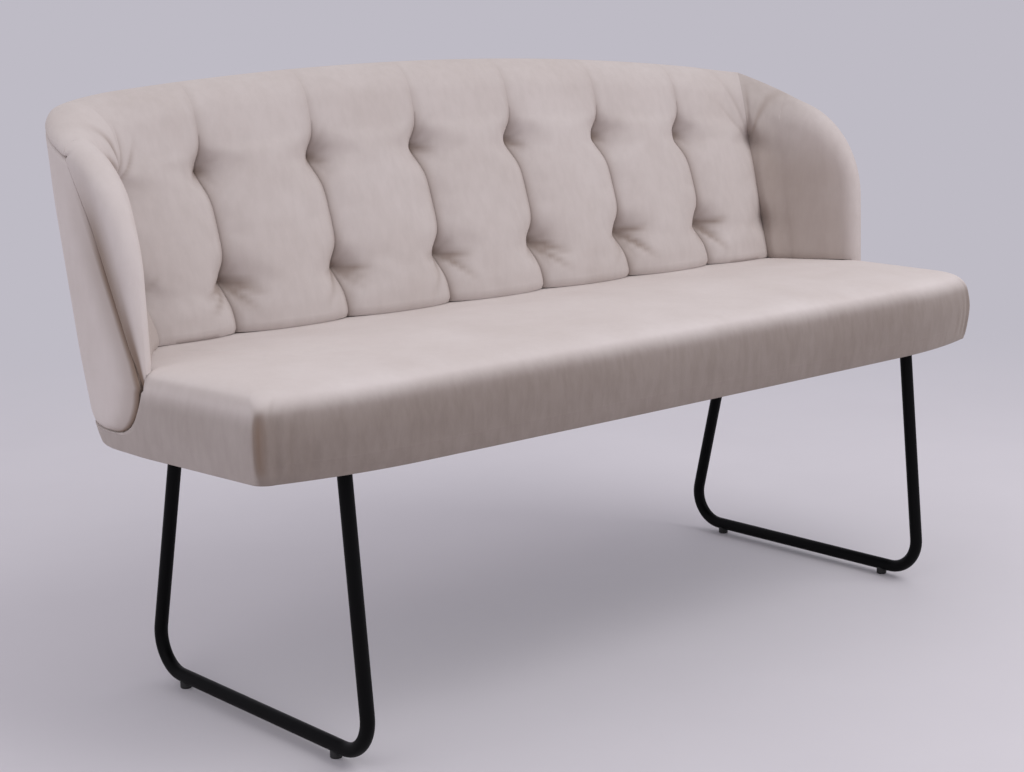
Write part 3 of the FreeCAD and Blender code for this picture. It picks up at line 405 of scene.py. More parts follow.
def pad_depth(offset, half, level, top, crown_share, seeds, seams=(True, True),
              faded=(0, 0), fan=1.0):
    """Depth of a pad and its painted shade in seams, tufts and folds, at offsets from its
    middle line.
    """
    rise = (top - PAD_LEVEL) / (BACK_TOP - PAD_LEVEL)
    even = PAD_LEVEL + (level - PAD_LEVEL) / rise
    crown = pchip(even, CROWN_LEVELS, CROWN_DEPTHS) * crown_share
    dip = pchip(even, SEAM_LEVELS, SEAM_DIPS)
    lower, upper = tuft_levels(top)
    for tuft in (lower, upper):
        dip = dip + TUFT_DIP * bell(level - tuft, TUFT_HEIGHT)
    dip = dip * np.where(offset < 0, seam_fade(level, top, faded[0]),
                         seam_fade(level, top, faded[1]))
    share = np.abs(offset) / half
    kept = ((offset < 0) & seams[0]) | ((offset >= 0) & seams[1])
    share = np.where(kept, share, 0.0)
    fullness = np.power(np.clip(1 - np.power(share, PAD_FLATNESS), 0, 1), PAD_FALL)
    depth = crown - dip * crown_share * (1 - fullness)
    fold = smooth_step(1 - fullness, *SHADED_FALL) * SEAM_SHADE * np.clip(
        dip / SHADED_DIP, 0, 1)
    for index, side in enumerate((-1, 1)):
        if not seams[index]:
            continue
        softer = 1 - TUFT_FADE * faded[index]
        for row, tuft in enumerate((lower, upper)):
            across = half - side * offset
            above = level - tuft
            reach = np.hypot(across, above)
            depth = depth - DIMPLE_DIP * softer * crown_share * bell(reach, DIMPLE_RADIUS)
            folds = (CORNER_FOLDS if softer < 1 else (LOWER_FOLDS, UPPER_FOLDS))[row]
            crease = fold_depth(across, above, folds, seeds[index] * 2 + row)
            crease = crease * (1.0 if side < 0 else FAR_FOLDS) * (fan if softer < 1 else 1.0)
            depth = depth - crease * crown_share
            fold = np.maximum(fold, TUFT_SHADE * softer * bell(reach, SHADE_RADIUS))
            fold = np.maximum(fold, np.clip(crease / DARK_CREASE, 0, FOLD_SHADE))
    return depth, fold


# Points up a pad's face, over its top and down its back
FRONT_STEPS = 76
OUTER_STEPS = 14
BACK_STEPS = 10
CREST_CLOSENESS = 1.5
REAR_CLOSENESS = 1.6
# Gap between two pieces, and the rounding beside a sewn edge
PIECE_CLEAR = 0.0004
SEAM_ROUND = 0.006
# A pad's foot on the seat: its rounding, how far it is drawn in, and from which depth on
FOOT_ROUND = 0.014
FOOT_DRAW = 0.006
FULL_DEPTH = 0.07
# How far the seat's top is pressed down, and over which depth
SEAT_DIP = 0.006
DIP_RUN = (-0.05, 0.09)
UNFOLDED = np.zeros(OUTER_STEPS + BACK_STEPS)


def level_samples(low, top):
    """Levels from a pad's foot to its crest, closer together near the crest."""
    share = np.linspace(0, 1, FRONT_STEPS)
    return low + (top - low) * (1 - (1 - share) ** CREST_CLOSENESS)


def rear_of_roll(edge, drop, middle, roll_out):
    """Depth behind the face of the part that rolls over the shell's top."""
    tucked = SHELL_THICKNESS + OUTER_PAD * quarter_round((TOP_ROLL - drop) / SEAM_ROUND)
    return middle - (middle + tucked) * quarter_round(edge / roll_out)


def front_of_roll(edge, body, roll_in):
    middle = (body - INNER) / 2
    return middle + (body - middle) * quarter_round(edge / roll_in)


def tucked_foot(above, depth):
    """How far a pad's face is drawn in where its lower edge rests on the seat."""
    return FOOT_DRAW * np.clip(depth / FULL_DEPTH, 0, 1) * (
        1 - quarter_round(above / FOOT_ROUND))


def seat_top(reach):
    """Level of the seat's top at a distance in from its edge."""
    knots = np.array(SEAT_LAYERS[5:])
    return SEAT_BOTTOM + SEAT_EDGE_HEIGHT * pchip(reach, knots[:, 1] * SEAT_EDGE_HEIGHT,
                                                  knots[:, 0])


def seat_dip(behind):
    """How far the seat's top is pressed down towards its rear."""
    return SEAT_DIP * smooth_step(behind, *DIP_RUN)


def place_points(base, inward, lean, depths, levels):
    return np.stack([base[0] + inward[0] * depths,
                     base[1] + inward[1] * depths + leaned(levels, lean), levels], axis=1)


def pad_column(base, inward, lean, top, low, depth, rolls, edge_at=None):
    """One closed loop of a pad: up its face, over its top and down its back."""
    level = level_samples(low, top)
    outer_level = top - np.linspace(0.03, 1, OUTER_STEPS) ** REAR_CLOSENESS * TOP_ROLL
    edge_at = edge_at or (lambda levels: top - levels)
    front = front_of_roll(edge_at(level), depth, rolls[0]) - tucked_foot(level - low, depth)
    middle = (depth[-1] - INNER) / 2
    rear = rear_of_roll(edge_at(outer_level), top - outer_level, middle, rolls[1])
    back_level = np.linspace(top - TOP_ROLL + PIECE_CLEAR, low, BACK_STEPS)
    depths = np.concatenate([front, rear, np.full(BACK_STEPS, PIECE_CLEAR)])
    levels = np.concatenate([level, outer_level, back_level])
    return place_points(base, inward, lean, depths, levels)


# Where a pad's cover is held, from free to held: beside a seam as a share of the half
# width, above the foot, below the crest, and round a tuft
HELD_SEAM = (0.84, 0.98)
HELD_FOOT = (0.002, 0.022)
HELD_CREST = (0.11, 0.045)
HELD_TUFT = 0.016


def held_share(offset, half, level, top):
    """1 where a pad's cover is sewn, tufted or tucked in, and 0 where it is free."""
    held = np.full(len(level), smooth_step(abs(offset) / half, *HELD_SEAM))
    held = np.maximum(held, 1 - smooth_step(level - level[0], *HELD_FOOT))
    held = np.maximum(held, smooth_step(level, top - HELD_CREST[0], top - HELD_CREST[1]))
    for tuft in tuft_levels(top):
        held = np.maximum(held, bell(np.hypot(half - abs(offset), level - tuft), HELD_TUFT))
    return held


# Points across a pad, and how much closer together they are beside its seams
ACROSS_STEPS = 45
SEAM_CLOSENESS = 0.35
# Radius of the line inside the corner along which the corner pads are measured
PAD_LINE_RADIUS = BACK_CORNER - INNER - 0.039


def offsets_across(half):
    share = np.linspace(-1, 1, ACROSS_STEPS)
    return (half * np.sin(share * math.pi / 2) * SEAM_CLOSENESS
            + half * share * (1 - SEAM_CLOSENESS))


def make_channel(name, stations, half, seed, faded=(0, 0), fan=1.0):
    """A pad on the straight or bent back; the stations come with their offsets."""
    made = []
    for offset, (base, inward, on_wing) in stations:
        top = top_level(base, inward, BACK_LEAN, on_wing)
        level = level_samples(PAD_LEVEL - SEAT_DIP, top)
        depth, fold = pad_depth(offset, half, level, top, 1.0, (seed, seed + 1),
                                faded=faded, fan=fan)
        made.append((pad_column(base, inward, BACK_LEAN, top, level[0], depth,
                                (ROLL_IN, TOP_ROLL)),
                     np.concatenate([fold, UNFOLDED]),
                     np.concatenate([held_share(offset, half, level, top), 1 + UNFOLDED])))
    return shade_evenly(swell(skin_loops(name, made)), BACK_NAP_SHADE)


def make_flat_channel(name, middle, seed):
    half = PITCH / 2
    stations = [(offset, back_station(1, "rear", middle + offset))
                for offset in offsets_across(half)]
    return make_channel(name, stations, half, seed)


def make_corner_channel(name, way, seed):
    """The channel that turns into the corner as far as the corner seam."""
    start = FLAT_CHANNELS / 2 * PITCH
    straight = HALF_WIDTH - BACK_CORNER - start
    half = (straight + PAD_LINE_RADIUS * CORNER_TURN) / 2
    stations = []
    for offset in offsets_across(half):
        run = offset + half
        if run <= straight:
            station = back_station(way, "rear", start + run)
        else:
            station = back_station(way, "corner", (run - straight) / PAD_LINE_RADIUS)
        stations.append((offset, station))
    return make_channel(name, stations, half, seed, (0, CORNER_FADE), FANS[way])


# Wings

TAIL_STEPS = 8
ARC_STEPS = 60


def wing_outline(low, high):
    """Front and top outline of a wing in side view, between two levels, by arc length."""
    slope_angle = math.atan(WING_SLOPE)
    turn = math.pi / 2 - slope_angle
    reach = WING_CORNER * math.tan(turn / 2)
    corner = WING_CORNER_LEVEL + WING_SLOPE * (WING_FRONT - EDGE_FRONT)
    centre = np.array([-EDGE_FRONT + WING_CORNER, corner - reach])
    tail = np.linspace(low, ROLL_FOOT, TAIL_STEPS)[:-1] if low < ROLL_FOOT else np.array([low])
    ahead = groove_place(tail) - TAIL_WIDTH * (tail - TAIL_FOOT) / (ROLL_FOOT - TAIL_FOOT)
    foot = np.stack([np.minimum(ahead, -EDGE_FRONT) if low < ROLL_FOOT
                     else np.array([-EDGE_FRONT]), tail], axis=1)
    angles = np.linspace(math.pi, math.pi - turn, ARC_STEPS)
    arc = centre + WING_CORNER * np.stack([np.cos(angles), np.sin(angles)], axis=1)
    end = np.array([[(high - WING_CORNER_LEVEL) / WING_SLOPE - WING_FRONT, high]])
    line = np.concatenate([foot, arc, end])
    return line, arc_lengths(line)


def distance_to_line(across, up, line):
    """Shortest distance from points in side view to a polyline."""
    best = np.full(np.shape(across), 1.0)
    for start, end in zip(line[:-1], line[1:]):
        run = end - start
        share = ((across - start[0]) * run[0] + (up - start[1]) * run[1]) / (run @ run)
        share = np.clip(share, 0, 1)
        best = np.minimum(best, np.hypot(across - start[0] - share * run[0],
                                         up - start[1] - share * run[1]))
    return best


def groove_place(level):
    """How far back the groove is at a level, on the padding and below it."""
    low_slope = (WING_LOW_FRONT + GROOVE_FOOT) / (PAD_LEVEL - SHELL_BOTTOM)
    turn = math.pi / 2 - math.atan(low_slope)
    reach = WING_LOW_CORNER / math.tan(turn / 2)
    centre = np.array([-WING_LOW_FRONT + reach, SHELL_BOTTOM + WING_LOW_CORNER])
    slope = np.where(level > PAD_LEVEL, GROOVE_SLOPE, low_slope)
    straight = GROOVE_FOOT + slope * (level - PAD_LEVEL)
    down = np.clip((centre[1] - level) / WING_LOW_CORNER, 0, 1)
    curve = centre[0] - WING_LOW_CORNER * np.sqrt(1 - down ** 2)
    return np.where(level < centre[1], np.maximum(curve, straight), straight)


# A wing's depth as a share of the back's, from the corner seam (0) to its front edge (1)
WING_CROWN_RUNS = (0.0, 0.12, 0.26, 0.40, 0.56, 0.72, 0.88, 1.0)
WING_CROWNS = (1.0, 0.98, 0.88, 0.71, 0.51, 0.35, 0.22, 0.163)
EDGE_BLEND = (0.72, 1.0)
EDGE_TILT = math.cos(math.atan(WING_SLOPE))
WING_BODY = WING_THICKNESS - INNER
WING_ROUND = 0.020
# The corner's share of a wing's run, and how much faster the run grows at the seam
CORNER_SHARE = 0.40
CORNER_EASE = 0.5
CORNER_STATIONS = 26
STATION_CLOSENESS = 1.15
SIDE_STATIONS = 32
EDGE_STEPS = 26
# Slopes into the groove: width on the cover and on the roll
VALLEY = 0.026
ROLL_VALLEY = 0.050
# The roll's fullness, and how far from the groove and from its top it is reached
WING_BULGE = 0.004
FULL_SPREAD = 0.05
FULL_DROP = 0.06
# Shade of the groove: depth, run over the roll, fading below the top and towards the front
GROOVE_SHADE = 0.95
SHADE_RUN = (0.004, 0.062)
SHADE_FADE = 0.15
FRONT_LIGHT = 0.9
FRONT_RUN = (0.62, 0.92)
# Shade of the wing's inside: depth, and where it fades below the top and to the front
INSIDE_SHADE = 0.40
INSIDE_DROP = (0.03, 0.14)
INSIDE_RUN = (0.80, 1.0)
# Where the rounding inside the edge narrows, from the corner to the front
ROUND_RUN = (CORNER_SHARE * 0.5, 0.92)
# The roll's foot on the seat, and the thin tail that follows the groove below it
ROLL_FOOT = 0.482
TAIL_FOOT = 0.456
TAIL_WIDTH = 0.0045
ROLL_FOOT_STEPS = 14
ROLL_LAP = 0.0010
ROLL_LEAST = 0.0005
# How far the groove and the top seam take to run out into the roll
GROOVE_RUN_OUT = 0.10
SEAM_RUN_OUT = 0.020


def side_lean(share):
    return BACK_LEAN + (GROOVE_SLOPE - BACK_LEAN) * share


def wing_stations(way):
    """Stations from the corner seam to the groove: run, base, inward, lean, side share."""
    found = []
    for share in np.linspace(0, 1, CORNER_STATIONS) ** STATION_CLOSENESS:
        base, inward, on_wing = back_station(way, "corner", CORNER_TURN * (1 + share))
        run = share * (1 + CORNER_EASE * (1 - share)) * CORNER_SHARE
        found.append((run, base, inward, BACK_LEAN, on_wing, 0.0))
    rise = PAD_LEVEL - SHELL_BOTTOM
    start = BACK_REAR - BACK_CORNER + BACK_LEAN * rise
    for share in np.linspace(0, 1, SIDE_STATIONS + 1)[1:]:
        lean = side_lean(share)
        foot = start + (GROOVE_FOOT - start) * share
        base, inward, _ = back_station(way, "side", foot - lean * rise)
        found.append((CORNER_SHARE + (1 - CORNER_SHARE) * share, base, inward, lean, True,
                      share))
    return found


def wing_run(behind, level, corner_run):
    """How far a place is from the corner seam (0) to the wing's front edge (1)."""
    start = BACK_REAR - BACK_CORNER + leaned(level)
    share = np.clip((start - behind) / (start + WING_FRONT), 0, 1)
    return np.where(share > 0, CORNER_SHARE + (1 - CORNER_SHARE) * share, corner_run)


def wing_roll_in(run):
    """Width of the rounding inside the wing's edge: wide at the corner, narrow in front."""
    return ROLL_IN + (WING_ROUND - ROLL_IN) * smooth_step(run, *ROUND_RUN)


def groove_fade(below):
    """1 at a wing's top, where its groove runs out, and 0 where the groove is full."""
    return 1 - smooth_step(below, TOP_ROLL - SEAM_ROUND, TOP_ROLL + GROOVE_RUN_OUT)


def wing_depth(behind, level, top, corner_run, length, crease):
    """Depth of a wing's padding, tapering smoothly from the corner to the front edge."""
    run = wing_run(behind, level, corner_run)
    crown_share = pchip(run, WING_CROWN_RUNS, WING_CROWNS)
    offset = run * length - length
    seed, fan = crease
    depth, fold = pad_depth(offset, length, level, top, crown_share, (seed, seed),
                            seams=(True, False), faded=(CORNER_FADE, 0), fan=fan)
    below = smooth_step(top - level, *INSIDE_DROP)
    fold = np.maximum(fold, INSIDE_SHADE * below * (1 - smooth_step(run, *INSIDE_RUN)))
    return depth + (WING_BODY - depth) * smooth_step(run, *EDGE_BLEND), fold


def wing_column(station, length, crease, line):
    """A wing pad's loop at one station, with its fold shading."""
    run, base, inward, lean, on_wing, share = station
    top = top_level(base, inward, lean, on_wing)

    corner_run = min(run, CORNER_SHARE)
    tilt = 1 - (1 - EDGE_TILT) * corner_run / CORNER_SHARE

    def behind_at(levels):
        return base[1] + leaned(levels, lean) if share > 0 else np.full(
            len(levels), 1.0)

    def edge_at(levels):
        if share > 0:
            return distance_to_line(behind_at(levels), levels, line)
        return (top - levels) * tilt

    def depth_at(levels):
        return wing_depth(behind_at(levels), levels, top, corner_run, length, crease)

    foot = float(depth_at(np.array([PAD_LEVEL]))[0][0])
    behind = base[1] + leaned(PAD_LEVEL, lean) + inward[1] * foot
    low = float(seat_top(foot + INNER) - seat_dip(behind)) + PIECE_CLEAR
    level = level_samples(low, top)
    depth, fold = depth_at(level)
    roll_in = wing_roll_in(wing_run(behind_at(level), level, corner_run))
    roll_out = TOP_ROLL + (WING_ROUND - TOP_ROLL) * share
    loop = pad_column(base, inward, lean, top, low, depth, (roll_in, roll_out), edge_at)
    return loop, np.concatenate([fold, UNFOLDED]), (level, top)


def wing_roll_rows(way, column, whole_line, length, crease):
    """Rows round the wing's front edge, from the groove inside to the groove outside."""
    level, top = column
    level = np.concatenate([np.linspace(TAIL_FOOT, level[0], ROLL_FOOT_STEPS)[:-1], level])
    line, lengths = wing_outline(level[0], top)
    spots = (level - level[0]) / (top - level[0]) * lengths[-1]
    outline = np.stack([np.interp(spots, lengths, line[:, axis]) for axis in range(2)], axis=1)
    share = np.sin(np.linspace(0, 1, EDGE_STEPS) * math.pi / 2)
    side = HALF_WIDTH - INNER
    rows = []
    for row, high in enumerate(level):
        start = np.array([float(groove_place(high)), high])
        run = outline[row] - start
        reach = max(float(np.linalg.norm(run)), ROLL_LEAST)
        spread = share * reach
        y = start[0] + run[0] * share
        z = start[1] + run[1] * share
        depth, fold = wing_depth(y, z, top, CORNER_SHARE, length, crease)
        middle = (depth - INNER) / 2
        near = distance_to_line(y, z, whole_line)
        inner = front_of_roll(near, depth, wing_roll_in(wing_run(y, z, CORNER_SHARE)))
        edge = top - high
        kept = float(groove_fade(edge))
        seam = 1 - float(quarter_round(abs(edge - TOP_ROLL) / SEAM_ROUND))
        kept_here = kept * (1 - seam * (1 - smooth_step(spread, 0.0, SEAM_RUN_OUT)))
        rise = kept_here + (1 - kept_here) * quarter_round(spread / ROLL_VALLEY)
        thick = SHELL_THICKNESS + OUTER_PAD * rise + WING_BULGE * smooth_step(
            spread, 0.0, FULL_SPREAD) * smooth_step(edge, 0.0, FULL_DROP)
        outer = middle - (middle + thick) * quarter_round(near / WING_ROUND)
        depths = np.concatenate([inner, outer[::-1]])
        seated = np.maximum(z, seat_top(INNER + inner) - seat_dip(y) + PIECE_CLEAR)
        y = np.concatenate([y, (y + ROLL_LAP * (1 - share))[::-1]])
        z = np.concatenate([seated, z[::-1]])
        deep = smooth_step(edge, 0.0, SHADE_FADE)
        shade = GROOVE_SHADE * deep * (1 - smooth_step(spread, *SHADE_RUN))
        shade = shade * (1 - kept) * (1 - FRONT_LIGHT * smooth_step(share, *FRONT_RUN))
        rows.append((np.stack([way * (side - depths), y, z], axis=1),
                     np.concatenate([fold * (1 - share ** 4), shade[::-1]])))
    return rows


def make_wing(name, way, seed):
    """A wing's pad inside the shell, and the roll round its front edge, as one piece."""
    length = PAD_LINE_RADIUS * CORNER_TURN / CORNER_SHARE
    line, _ = wing_outline(TAIL_FOOT, CORNER_LEVEL)
    crease = (seed, FANS[way])
    columns = [wing_column(station, length, crease, line) for station in wing_stations(way)]
    pad = skin_loops(name, [column[:2] for column in columns], WING_SHARP_ANGLE)
    rows = wing_roll_rows(way, columns[-1][2], line, length, crease)
    roll = skin_loops(name + "_roll", rows, WING_SHARP_ANGLE)
    wing = join([pad, roll], name)
    _, y, z = vectors(wing).T
    # Painted nap shade: a share for each wing, the right one darker, and more of it towards
    # the corner
    turned = smooth_step(y - leaned(z), *CORNER_RUN)
    add_share(wing, "nap_shade", WING_NAP_SHADES[way] + CORNER_NAP_SHADES[way] * turned)
    return wing


def join(pieces, name):
    for piece in pieces:
        piece.select_set(True)
    bpy.context.view_layer.objects.active = pieces[0]
    with bpy.context.temp_override(active_object=pieces[0], selected_editable_objects=pieces):
        bpy.ops.object.join()
    pieces[0].name = name
    pieces[0].select_set(False)
    return pieces[0]


# Outer cover of the back

PANEL_ROUND = 0.020
PANEL_BULGE = 0.0025
BULGE_RUN = 0.10
PANEL_LEAST = 0.0006
PANEL_CLEAR = 0.0002
PANEL_VALLEY = 0.050
PANEL_SHADE = 0.42
GROOVE_LINE = 0.008
FOOT_LINE = 0.006
FOOT_SHADE = 0.25
PANEL_UP_STEPS = 60
PANEL_IN_STEPS = 8
PANEL_SIDE_STEPS = 34
PANEL_CORNER_STEPS = 20
PANEL_REAR_STEPS = 60


def panel_columns():
    """Plan places round the shell: kind, place, and share of the way to the groove."""
    side = [("side", share) for share in 1 - np.linspace(0, 1, PANEL_SIDE_STEPS) ** 1.5]
    corner = [("corner", math.pi / 2 * share)
              for share in np.linspace(1, 0, PANEL_CORNER_STEPS)[1:]]
    half = HALF_WIDTH - BACK_CORNER
    rear = [("rear", x) for x in np.linspace(half, 0, PANEL_REAR_STEPS // 2)[1:]]
    return side + corner + rear


def panel_top(x, y):
    """Level of the panel's top edge above a point at the shell's lower edge."""
    level = CORNER_LEVEL
    for _ in range(PANEL_PASSES):
        level = top_line(x, y + leaned(level), abs(x) > CORNER_HALF)
    return level - TOP_ROLL


def panel_loop(way, kind, place):
    """One closed loop of the cover: up its outside and down its inside."""
    share = np.sin(np.linspace(-0.5, 0.5, PANEL_UP_STEPS) * math.pi) / 2 + 0.5
    groove = np.full(PANEL_UP_STEPS, 1.0)
    if kind == "side":
        start = BACK_REAR - BACK_CORNER
        base, inward, _ = back_station(way, "side", start)
        high = panel_top(HALF_WIDTH, start)
        for _ in range(PANEL_PASSES):
            y = (1 - place) * (start + leaned(high))
            y += place * float(groove_place(high))
            high = top_line(HALF_WIDTH, y, True) - TOP_ROLL
        level = SHELL_BOTTOM + (high - SHELL_BOTTOM) * share
        behind = start + leaned(level)
        line = groove_place(level)
        y = behind + (line - behind) * place
        groove = (y - line) / math.sqrt(1 + GROOVE_SLOPE ** 2)
    else:
        base, inward, _ = back_station(way, kind, place)
        outer = base - inward * INNER
        high = panel_top(*outer)
        level = SHELL_BOTTOM + (high - SHELL_BOTTOM) * share
        y = base[1] + leaned(level)
    full_groove = 1 - groove_fade(high - level + TOP_ROLL)
    rounded = (quarter_round((high - level) / SEAM_ROUND)
               * quarter_round((level - SHELL_BOTTOM) / PANEL_ROUND)
               * (1 - (1 - quarter_round(groove / VALLEY)) * full_groove))
    bulge = smooth_step(np.minimum(high - level, level - SHELL_BOTTOM), 0.0, BULGE_RUN)
    thick = SHELL_THICKNESS + PANEL_LEAST + (OUTER_PAD - PANEL_LEAST) * rounded
    thick = thick + PANEL_BULGE * bulge * smooth_step(groove, 0.0, BULGE_RUN)
    outside = np.stack([base[0] - inward[0] * thick, y - inward[1] * thick, level], axis=1)
    skin = SHELL_THICKNESS + PANEL_CLEAR
    picked = np.linspace(PANEL_UP_STEPS - 1, 0, PANEL_IN_STEPS).round().astype(int)
    inside = np.stack([np.full(PANEL_IN_STEPS, base[0] - inward[0] * skin),
                       y[picked] - inward[1] * skin, level[picked]], axis=1)
    deep = smooth_step(high - level, 0.0, SHADE_FADE)
    beside = 1 - smooth_step(groove, 0.0, PANEL_VALLEY)
    shade = deep * np.maximum(GROOVE_SHADE * bell(groove, GROOVE_LINE), PANEL_SHADE * beside)
    shade = shade + FOOT_SHADE * bell(level - SHELL_BOTTOM, FOOT_LINE)
    return (np.concatenate([outside, inside]),
            np.concatenate([shade, np.zeros(PANEL_IN_STEPS)]))


def make_outer_cover():
    """Padded cover round the outside of the shell, from groove to groove."""
    left = [panel_loop(-1, *column) for column in panel_columns()]
    right = [panel_loop(1, *column) for column in panel_columns()][:-1][::-1]
    return shade_evenly(skin_loops("outer_cover", left + right), COVER_NAP_SHADE)


# Seat

SEAT_FRONT = 0.286
SEAT_FRONT_HALF = 0.703
SEAT_SHOULDER = 0.283
SEAT_SHOULDER_HALF = 0.500
SEAT_CORNER_REACH = 0.254
SEAT_CORNER = 0.017
SEAT_SIDE_TURN = 0.020
SEAT_MIDDLE = -0.070
# Share of the height, and shares of it by which the front and the rear are drawn in
SEAT_LAYERS = (
    (0.004, 0.24, 0.20), (0.0, 0.066, 0.066), (0.05, 0.048, 0.048), (0.2, 0.022, 0.022),
    (0.48, 0.0, 0.0), (0.74, 0.03, 0.03), (0.88, 0.09, 0.1), (0.955, 0.17, 0.2),
    (1.0, 0.31, 0.34), (1.025, 0.57, 0.55), (1.044, 0.95, 0.80), (1.0545, 1.25, 0.95))
# How fast the front corner's radius grows with the inset, and how far the middle of the
# line from the shoulder to it has turned back
CORNER_GROWTH = 0.4
SHOULDER_BEND = 0.3
# Points along half the outline: the front, shoulder, corner and side, the notch, and the
# inner side, corner and line of the rear
FRONT_STEPS_HALF, SHOULDER_STEPS, CORNER_STEPS, SIDE_STEPS = 44, 61, 13, 29
NOTCH_STEPS, REAR_SIDE_STEPS, REAR_CORNER_STEPS, REAR_STEPS = 9, 13, 21, 62
SEAT_RINGS = 70
SEAT_TOP_RINGS = 22
UNDER_RISE = 0.004
UNDER_SHARES = (0.0, 0.3, 0.65, 1.0)
SEAT_CROWN = 0.0022
SPINE_END = 0.20
# Heights between which the rear is pressed down, and the faces whose painted nap shade is
# lessened: how far sideways, and how far upwards, they look
PRESSED_HEIGHTS = (0.06, 0.11)
SIDEWAYS = (0.72, 0.97)
UPWARDS = (0.1, 0.85)
# The notch in the cushion's side that ends at the outer cover's edge
NOTCH_ROUND = 0.010
NOTCH_DEPTH = 0.6
NOTCH_CLEAR = 0.0005
NOTCH_RINGS = ((0.0006, False), (0.0005, True))


def arc_through(start, middle, end, steps):
    """Points on the circle through three plan points."""
    (ax, ay), (bx, by), (cx, cy) = start, middle, end
    scale = 2 * (ax * (by - cy) + bx * (cy - ay) + cx * (ay - by))
    if abs(scale) < 1e-9:
        return np.linspace(start, end, steps)
    a2, b2, c2 = ax * ax + ay * ay, bx * bx + by * by, cx * cx + cy * cy
    centre = np.array([(a2 * (by - cy) + b2 * (cy - ay) + c2 * (ay - by)) / scale,
                       (a2 * (cx - bx) + b2 * (ax - cx) + c2 * (bx - ax)) / scale])
    radius = np.linalg.norm(np.array(start) - centre)
    angles = [math.atan2(p[1] - centre[1], p[0] - centre[0]) for p in (start, middle, end)]
    sweep = (angles[2] - angles[0]) % (2 * math.pi)
    if (angles[1] - angles[0]) % (2 * math.pi) > sweep:
        sweep -= 2 * math.pi
    turns = angles[0] + sweep * np.linspace(0, 1, steps)
    return centre + radius * np.stack([np.cos(turns), np.sin(turns)], axis=1)


def seat_front_line(inset):
    """Plan points from the middle of the front to the end of the front corner."""
    front_half = SEAT_FRONT_HALF - inset
    corner = SEAT_CORNER + inset * CORNER_GROWTH
    corner_front = -SEAT_CORNER_REACH + inset
    shoulder = (SEAT_SHOULDER_HALF - inset, -SEAT_SHOULDER + inset)
    start = (front_half - corner, corner_front)
    middle = ((shoulder[0] + start[0]) / 2,
              shoulder[1] + (corner_front - shoulder[1]) * SHOULDER_BEND)
    corner_mid = (front_half - corner * ARC_CUT, corner_front + corner * ARC_CUT)
    corner_end = (front_half, corner_front + corner)
    mirror = (-shoulder[0], shoulder[1])
    front_arc = arc_through(mirror, (0.0, -SEAT_FRONT + inset), shoulder,
                            2 * FRONT_STEPS_HALF + 1)[FRONT_STEPS_HALF:]
    return [front_arc[:-1], arc_through(shoulder, middle, start, SHOULDER_STEPS)[:-1],
            arc_through(start, corner_mid, corner_end, CORNER_STEPS)], corner_end


# The sewn crease at a front corner: its depth, width and shade, the heights where it
# starts and ends, and how far round the corner it reaches
CREASE_DEPTH = 0.0035
CREASE_WIDTH = 0.006
CREASE_SHADE = 0.8
SHADE_WIDENING = 1.3
CREASE_STARTS = (0.002, 0.02)
CREASE_ENDS = (0.072, 0.104)
CREASE_REACH = (-0.06, -0.02)
CREASE_TURN = 0.004
PUCKER_SHADE = 60
PUCKER_END = 0.03
# Puckers beside a front corner: distance from it, depth, width and upper end's level
CORNER_PUCKERS = ((0.020, 0.0016, 0.006, 0.470), (0.038, 0.0011, 0.007, 0.462),
                  (0.060, 0.0007, 0.009, 0.455))


def seat_ring(level, inset, rear_inset, notched):
    """A closed ring of the seat; above the shell's foot it stops at the panel's edge."""
    front, corner_end = seat_front_line(inset)
    shift = leaned(level)
    side = HALF_WIDTH - inset
    notch = float(groove_place(max(level, SHELL_BOTTOM))) - NOTCH_CLEAR
    y = np.linspace(corner_end[1], notch, SIDE_STEPS)[1:]
    slope = (side - corner_end[0]) / (-SEAT_SIDE_TURN - corner_end[1])
    x = np.minimum(corner_end[0] + slope * (y - corner_end[1]), side)
    if notched:
        x = x - NOTCH_ROUND * (1 - quarter_round((notch - y) / NOTCH_ROUND)) * NOTCH_DEPTH
    trim = INNER + PIECE_CLEAR if notched else 0.0
    inner_side = HALF_WIDTH - max(rear_inset, trim)
    radius = BACK_CORNER - max(rear_inset, trim)
    rear = BACK_REAR - max(rear_inset, trim) + shift
    wall = np.stack([np.linspace(x[-1], min(inner_side, x[-1]), NOTCH_STEPS)[1:],
                     notch + np.linspace(0.0, NOTCH_CLEAR, NOTCH_STEPS)[1:]], axis=1)
    rear_start = (inner_side, rear - radius)
    rear_mid = (inner_side - radius * ARC_CUT, rear - radius * ARC_CUT)
    rear_end = (inner_side - radius, rear)
    back = [np.linspace(tuple(wall[-1]), rear_start, REAR_SIDE_STEPS)[1:-1],
            arc_through(rear_start, rear_mid, rear_end, REAR_CORNER_STEPS)[:-1],
            np.linspace(rear_end, (0.0, rear), REAR_STEPS)]
    half = np.concatenate(front + [np.stack([x, y], axis=1), wall] + back)
    mirror = half[1:-1][::-1] * (-1, 1)
    ring = np.concatenate([half, mirror])
    return np.concatenate([ring, np.full((len(ring), 1), level)], axis=1)


def seat_rings():
    knots = np.array(SEAT_LAYERS)
    steps = np.concatenate([[0.0], np.linspace(1, len(knots) - 1, SEAT_RINGS)])
    columns = [pchip(steps, range(len(knots)), knots[:, column]) for column in range(3)]
    edge = (SHELL_BOTTOM - SEAT_BOTTOM) / SEAT_EDGE_HEIGHT
    rings = []
    for share, inset, rear in zip(*columns):
        level = SEAT_BOTTOM + share * SEAT_EDGE_HEIGHT
        if rings and rings[-1][0][2] < SHELL_BOTTOM <= level:
            at_edge = [float(np.interp(edge, columns[0][1:], column[1:]))
                       * SEAT_EDGE_HEIGHT for column in columns[1:]]
            for below, notched in NOTCH_RINGS:
                rings.append(seat_ring(SHELL_BOTTOM - below, *at_edge, notched))
        rings.append(seat_ring(level, inset * SEAT_EDGE_HEIGHT, rear * SEAT_EDGE_HEIGHT,
                               level >= SHELL_BOTTOM))
    return rings


